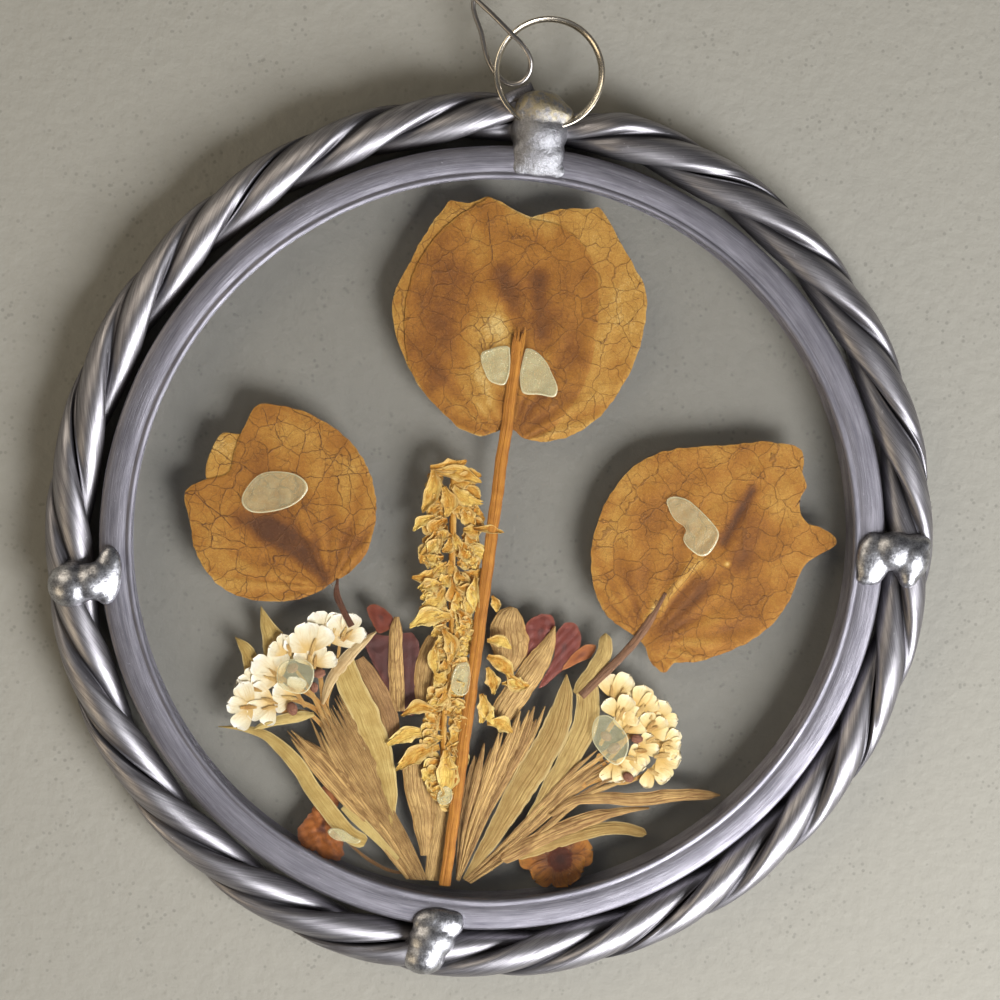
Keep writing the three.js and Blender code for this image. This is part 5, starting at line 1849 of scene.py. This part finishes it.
THIN_STEM = Foliage("thin_stem", 0, Hue.BROWN, "russet_petal", (
    Blade([(-15, -42.45), (-12, -44.45), (-9, -45.6), (-6.7, -45.7)], (0.3, 0.45, 0.45, 0.35), 1,
          tone=0.05),))

GLUE = {
    "glue_patch_top_left": (
        (-4.8, 24.5), (-3.6, 25.3), (-1.9, 25.9), (-1.05, 25.7), (-1, 21), (-2.8, 20.9), (-3.8, 21.8)),
    "glue_patch_top_right": (
        (1, 20.2), (1, 25.8), (2, 25.8), (3.3, 25), (4.4, 23.7), (5.9, 20.2), (3.5, 20)),
    "glue_patch_husk_left": (
        (-34, 2.2), (-33.4, 4.1), (-31.9, 5.9), (-29.5, 6.5), (-26.9, 6.2), (-25.5, 4.9), (-26.1, 3.3),
        (-28, 1.8), (-31.4, 0.8), (-33.1, 1)),
    "glue_patch_husk_right": (
        (22.1, 8.1), (24.4, 8.3), (26.4, 7.1), (28.7, 5.2), (29.6, 4), (29.1, 2.1), (28.2, 0.95), (27, 0.9),
        (24.9, 2.6), (25.1, 4.3), (23.5, 5.3), (22.5, 6.6)),
    "glue_patch_cluster_left": (
        (-27.1, -20), (-26.4, -18.5), (-24, -17.9), (-22.4, -18.8), (-22.3, -21.1), (-23.5, -22.6),
        (-26.5, -21.9)),
    "glue_patch_cluster_right": (
        (15.8, -22.3), (17.5, -21.7), (19.4, -23.1), (20.7, -25), (20.4, -27.5), (19.3, -28.4), (17.1, -26.9),
        (15.7, -25)),
    "glue_patch_spike_upper": (
        (-4, -18.9), (-3.4, -16.8), (-1.9, -16.5), (-1.5, -20.1), (-2.4, -20.9), (-3.7, -20.3)),
    "glue_patch_spike_lower": ((-4.2, -34.6), (-3.5, -33.3), (-2.4, -33.6), (-2.3, -35.3), (-3.7, -35.7)),
    "glue_patch_bottom_left": (
        (-18.2, -40.5), (-16.6, -40.2), (-14.9, -41.1), (-13.7, -41.75), (-15.8, -41.85), (-17.5, -41.5)),
}


# ------------------------------------------------------------------ the studio

@dataclass
class Studio:
    """A pale floor, a large cool soft light, a window, two warm lights, and a dim room.

    Each light is its name, its place and its side in millimetres, its power and its colour.
    """

    floor_half: float = 4000.0
    floor_drop: float = 0.05
    room: float = 0.09
    room_colour: Rgb = (0.93, 0.95, 1.0)
    lights: tuple[tuple, ...] = (
        ("key", (380, -300, 360), 420, 3.1, (0.95, 0.96, 1.0)),
        ("window", (230, -200, 260), 220, 2.0, (0.96, 0.97, 1.0)),
        ("warm", (-380, 240, 330), 380, 1.05, (1.0, 0.89, 0.72)),
        ("lamp", (-420, -290, 210), 260, 0.5, (1.0, 0.82, 0.56)),
    )

    def build(self, bench: Bench) -> None:
        """Lays the floor and hangs the lights."""
        skin = Skin()
        bmesh.ops.create_grid(skin.bm, x_segments=2, y_segments=2, size=self.floor_half)
        bmesh.ops.transform(skin.bm, matrix=bench.to_metres, verts=skin.bm.verts)
        mesh = skin.mesh("floor")
        mesh.materials.append(FloorFinish("pale_floor").make())
        floor = put("floor", mesh)
        floor.location.z = -self.floor_drop * MILLIMETRE
        for light in self.lights:
            self.light(bench, *light)
        world = bpy.data.worlds.new("room")
        bpy.context.scene.world = world
        world.use_nodes = True
        inputs = world.node_tree.nodes["Background"].inputs
        inputs["Color"].default_value = (*self.room_colour, 1.0)
        inputs["Strength"].default_value = self.room

    @staticmethod
    def light(bench: Bench, name: str, place: Sequence[float], size: float, power: float,
              colour: Rgb) -> None:
        """Hangs a square soft light that faces the middle of the glass.

        Args:
            bench: Where the middle is.
            name: The light's name.
            place: Where it hangs, in millimetres.
            size: Its side, in millimetres.
            power: Its power in watts.
            colour: Its colour.
        """
        lamp = bpy.data.lights.new(name, "AREA")
        lamp.size = size * MILLIMETRE
        lamp.energy = power
        lamp.color = colour
        holder = put(name, lamp)
        holder.location = bench.spot(place)
        holder.rotation_mode = "QUATERNION"
        holder.rotation_quaternion = (bench.spot((0, 0, 0)) - holder.location).to_track_quat("-Z", "Y")


@dataclass
class Camera:
    """A camera nearly overhead, a little towards the upper left, rolled so the frame leans right."""

    aim: tuple[float, float, float] = (-0.25, 5.7, 5.0)
    distance: float = 350.0
    tilt: float = 8.4
    towards: tuple[float, float] = (-0.7805, 0.6252)
    roll: float = 6.3
    lens: float = 95.6

    def build(self, bench: Bench) -> None:
        """Places the camera and makes it the scene's own."""
        tilt, roll = math.radians(self.tilt), math.radians(self.roll)
        aim = Vector(self.aim)
        back = Vector((self.towards[0] * math.sin(tilt), self.towards[1] * math.sin(tilt), math.cos(tilt)))
        up = Vector((-math.sin(roll), math.cos(roll), 0.0))
        right = up.cross(back).normalized()
        up = back.cross(right)
        data = bpy.data.cameras.new("camera")
        data.lens = self.lens
        data.sensor_width = 36.0
        data.clip_start = 0.01
        holder = put("camera", data)
        turn = Matrix((right, up, back)).transposed().to_4x4()
        holder.matrix_world = Matrix.Translation(bench.spot(aim + back * self.distance)) @ turn
        bpy.context.scene.camera = holder
        bpy.context.scene.view_settings.view_transform = "Standard"


def main() -> None:
    """Builds everything in order and notes the size."""
    logging.basicConfig(level=logging.INFO, format="%(message)s")
    bench = Bench()
    Camera().build(bench)
    Studio().build(bench)
    GlassPanes().dress()
    for piece in (RimCame(), TwistedBorder(), HangingRing(), WireHanger(), *SOLDER_JOINTS, *HUSKS):
        piece.build(bench)
    finishes = {hue: finish.make() for hue, finish in BLADE_FINISHES.items()}
    for seed, foliage in enumerate((*FOLIAGE, THIN_STEM)):
        foliage.build(bench, finishes, seed + 1)
    for piece in (Straw(), Spike(), *CLUSTERS, *DRIED_PETALS, SMALL_FLOWER, GluePatches(GLUE)):
        piece.build(bench)
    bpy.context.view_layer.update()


if __name__ == "__main__":
    main()
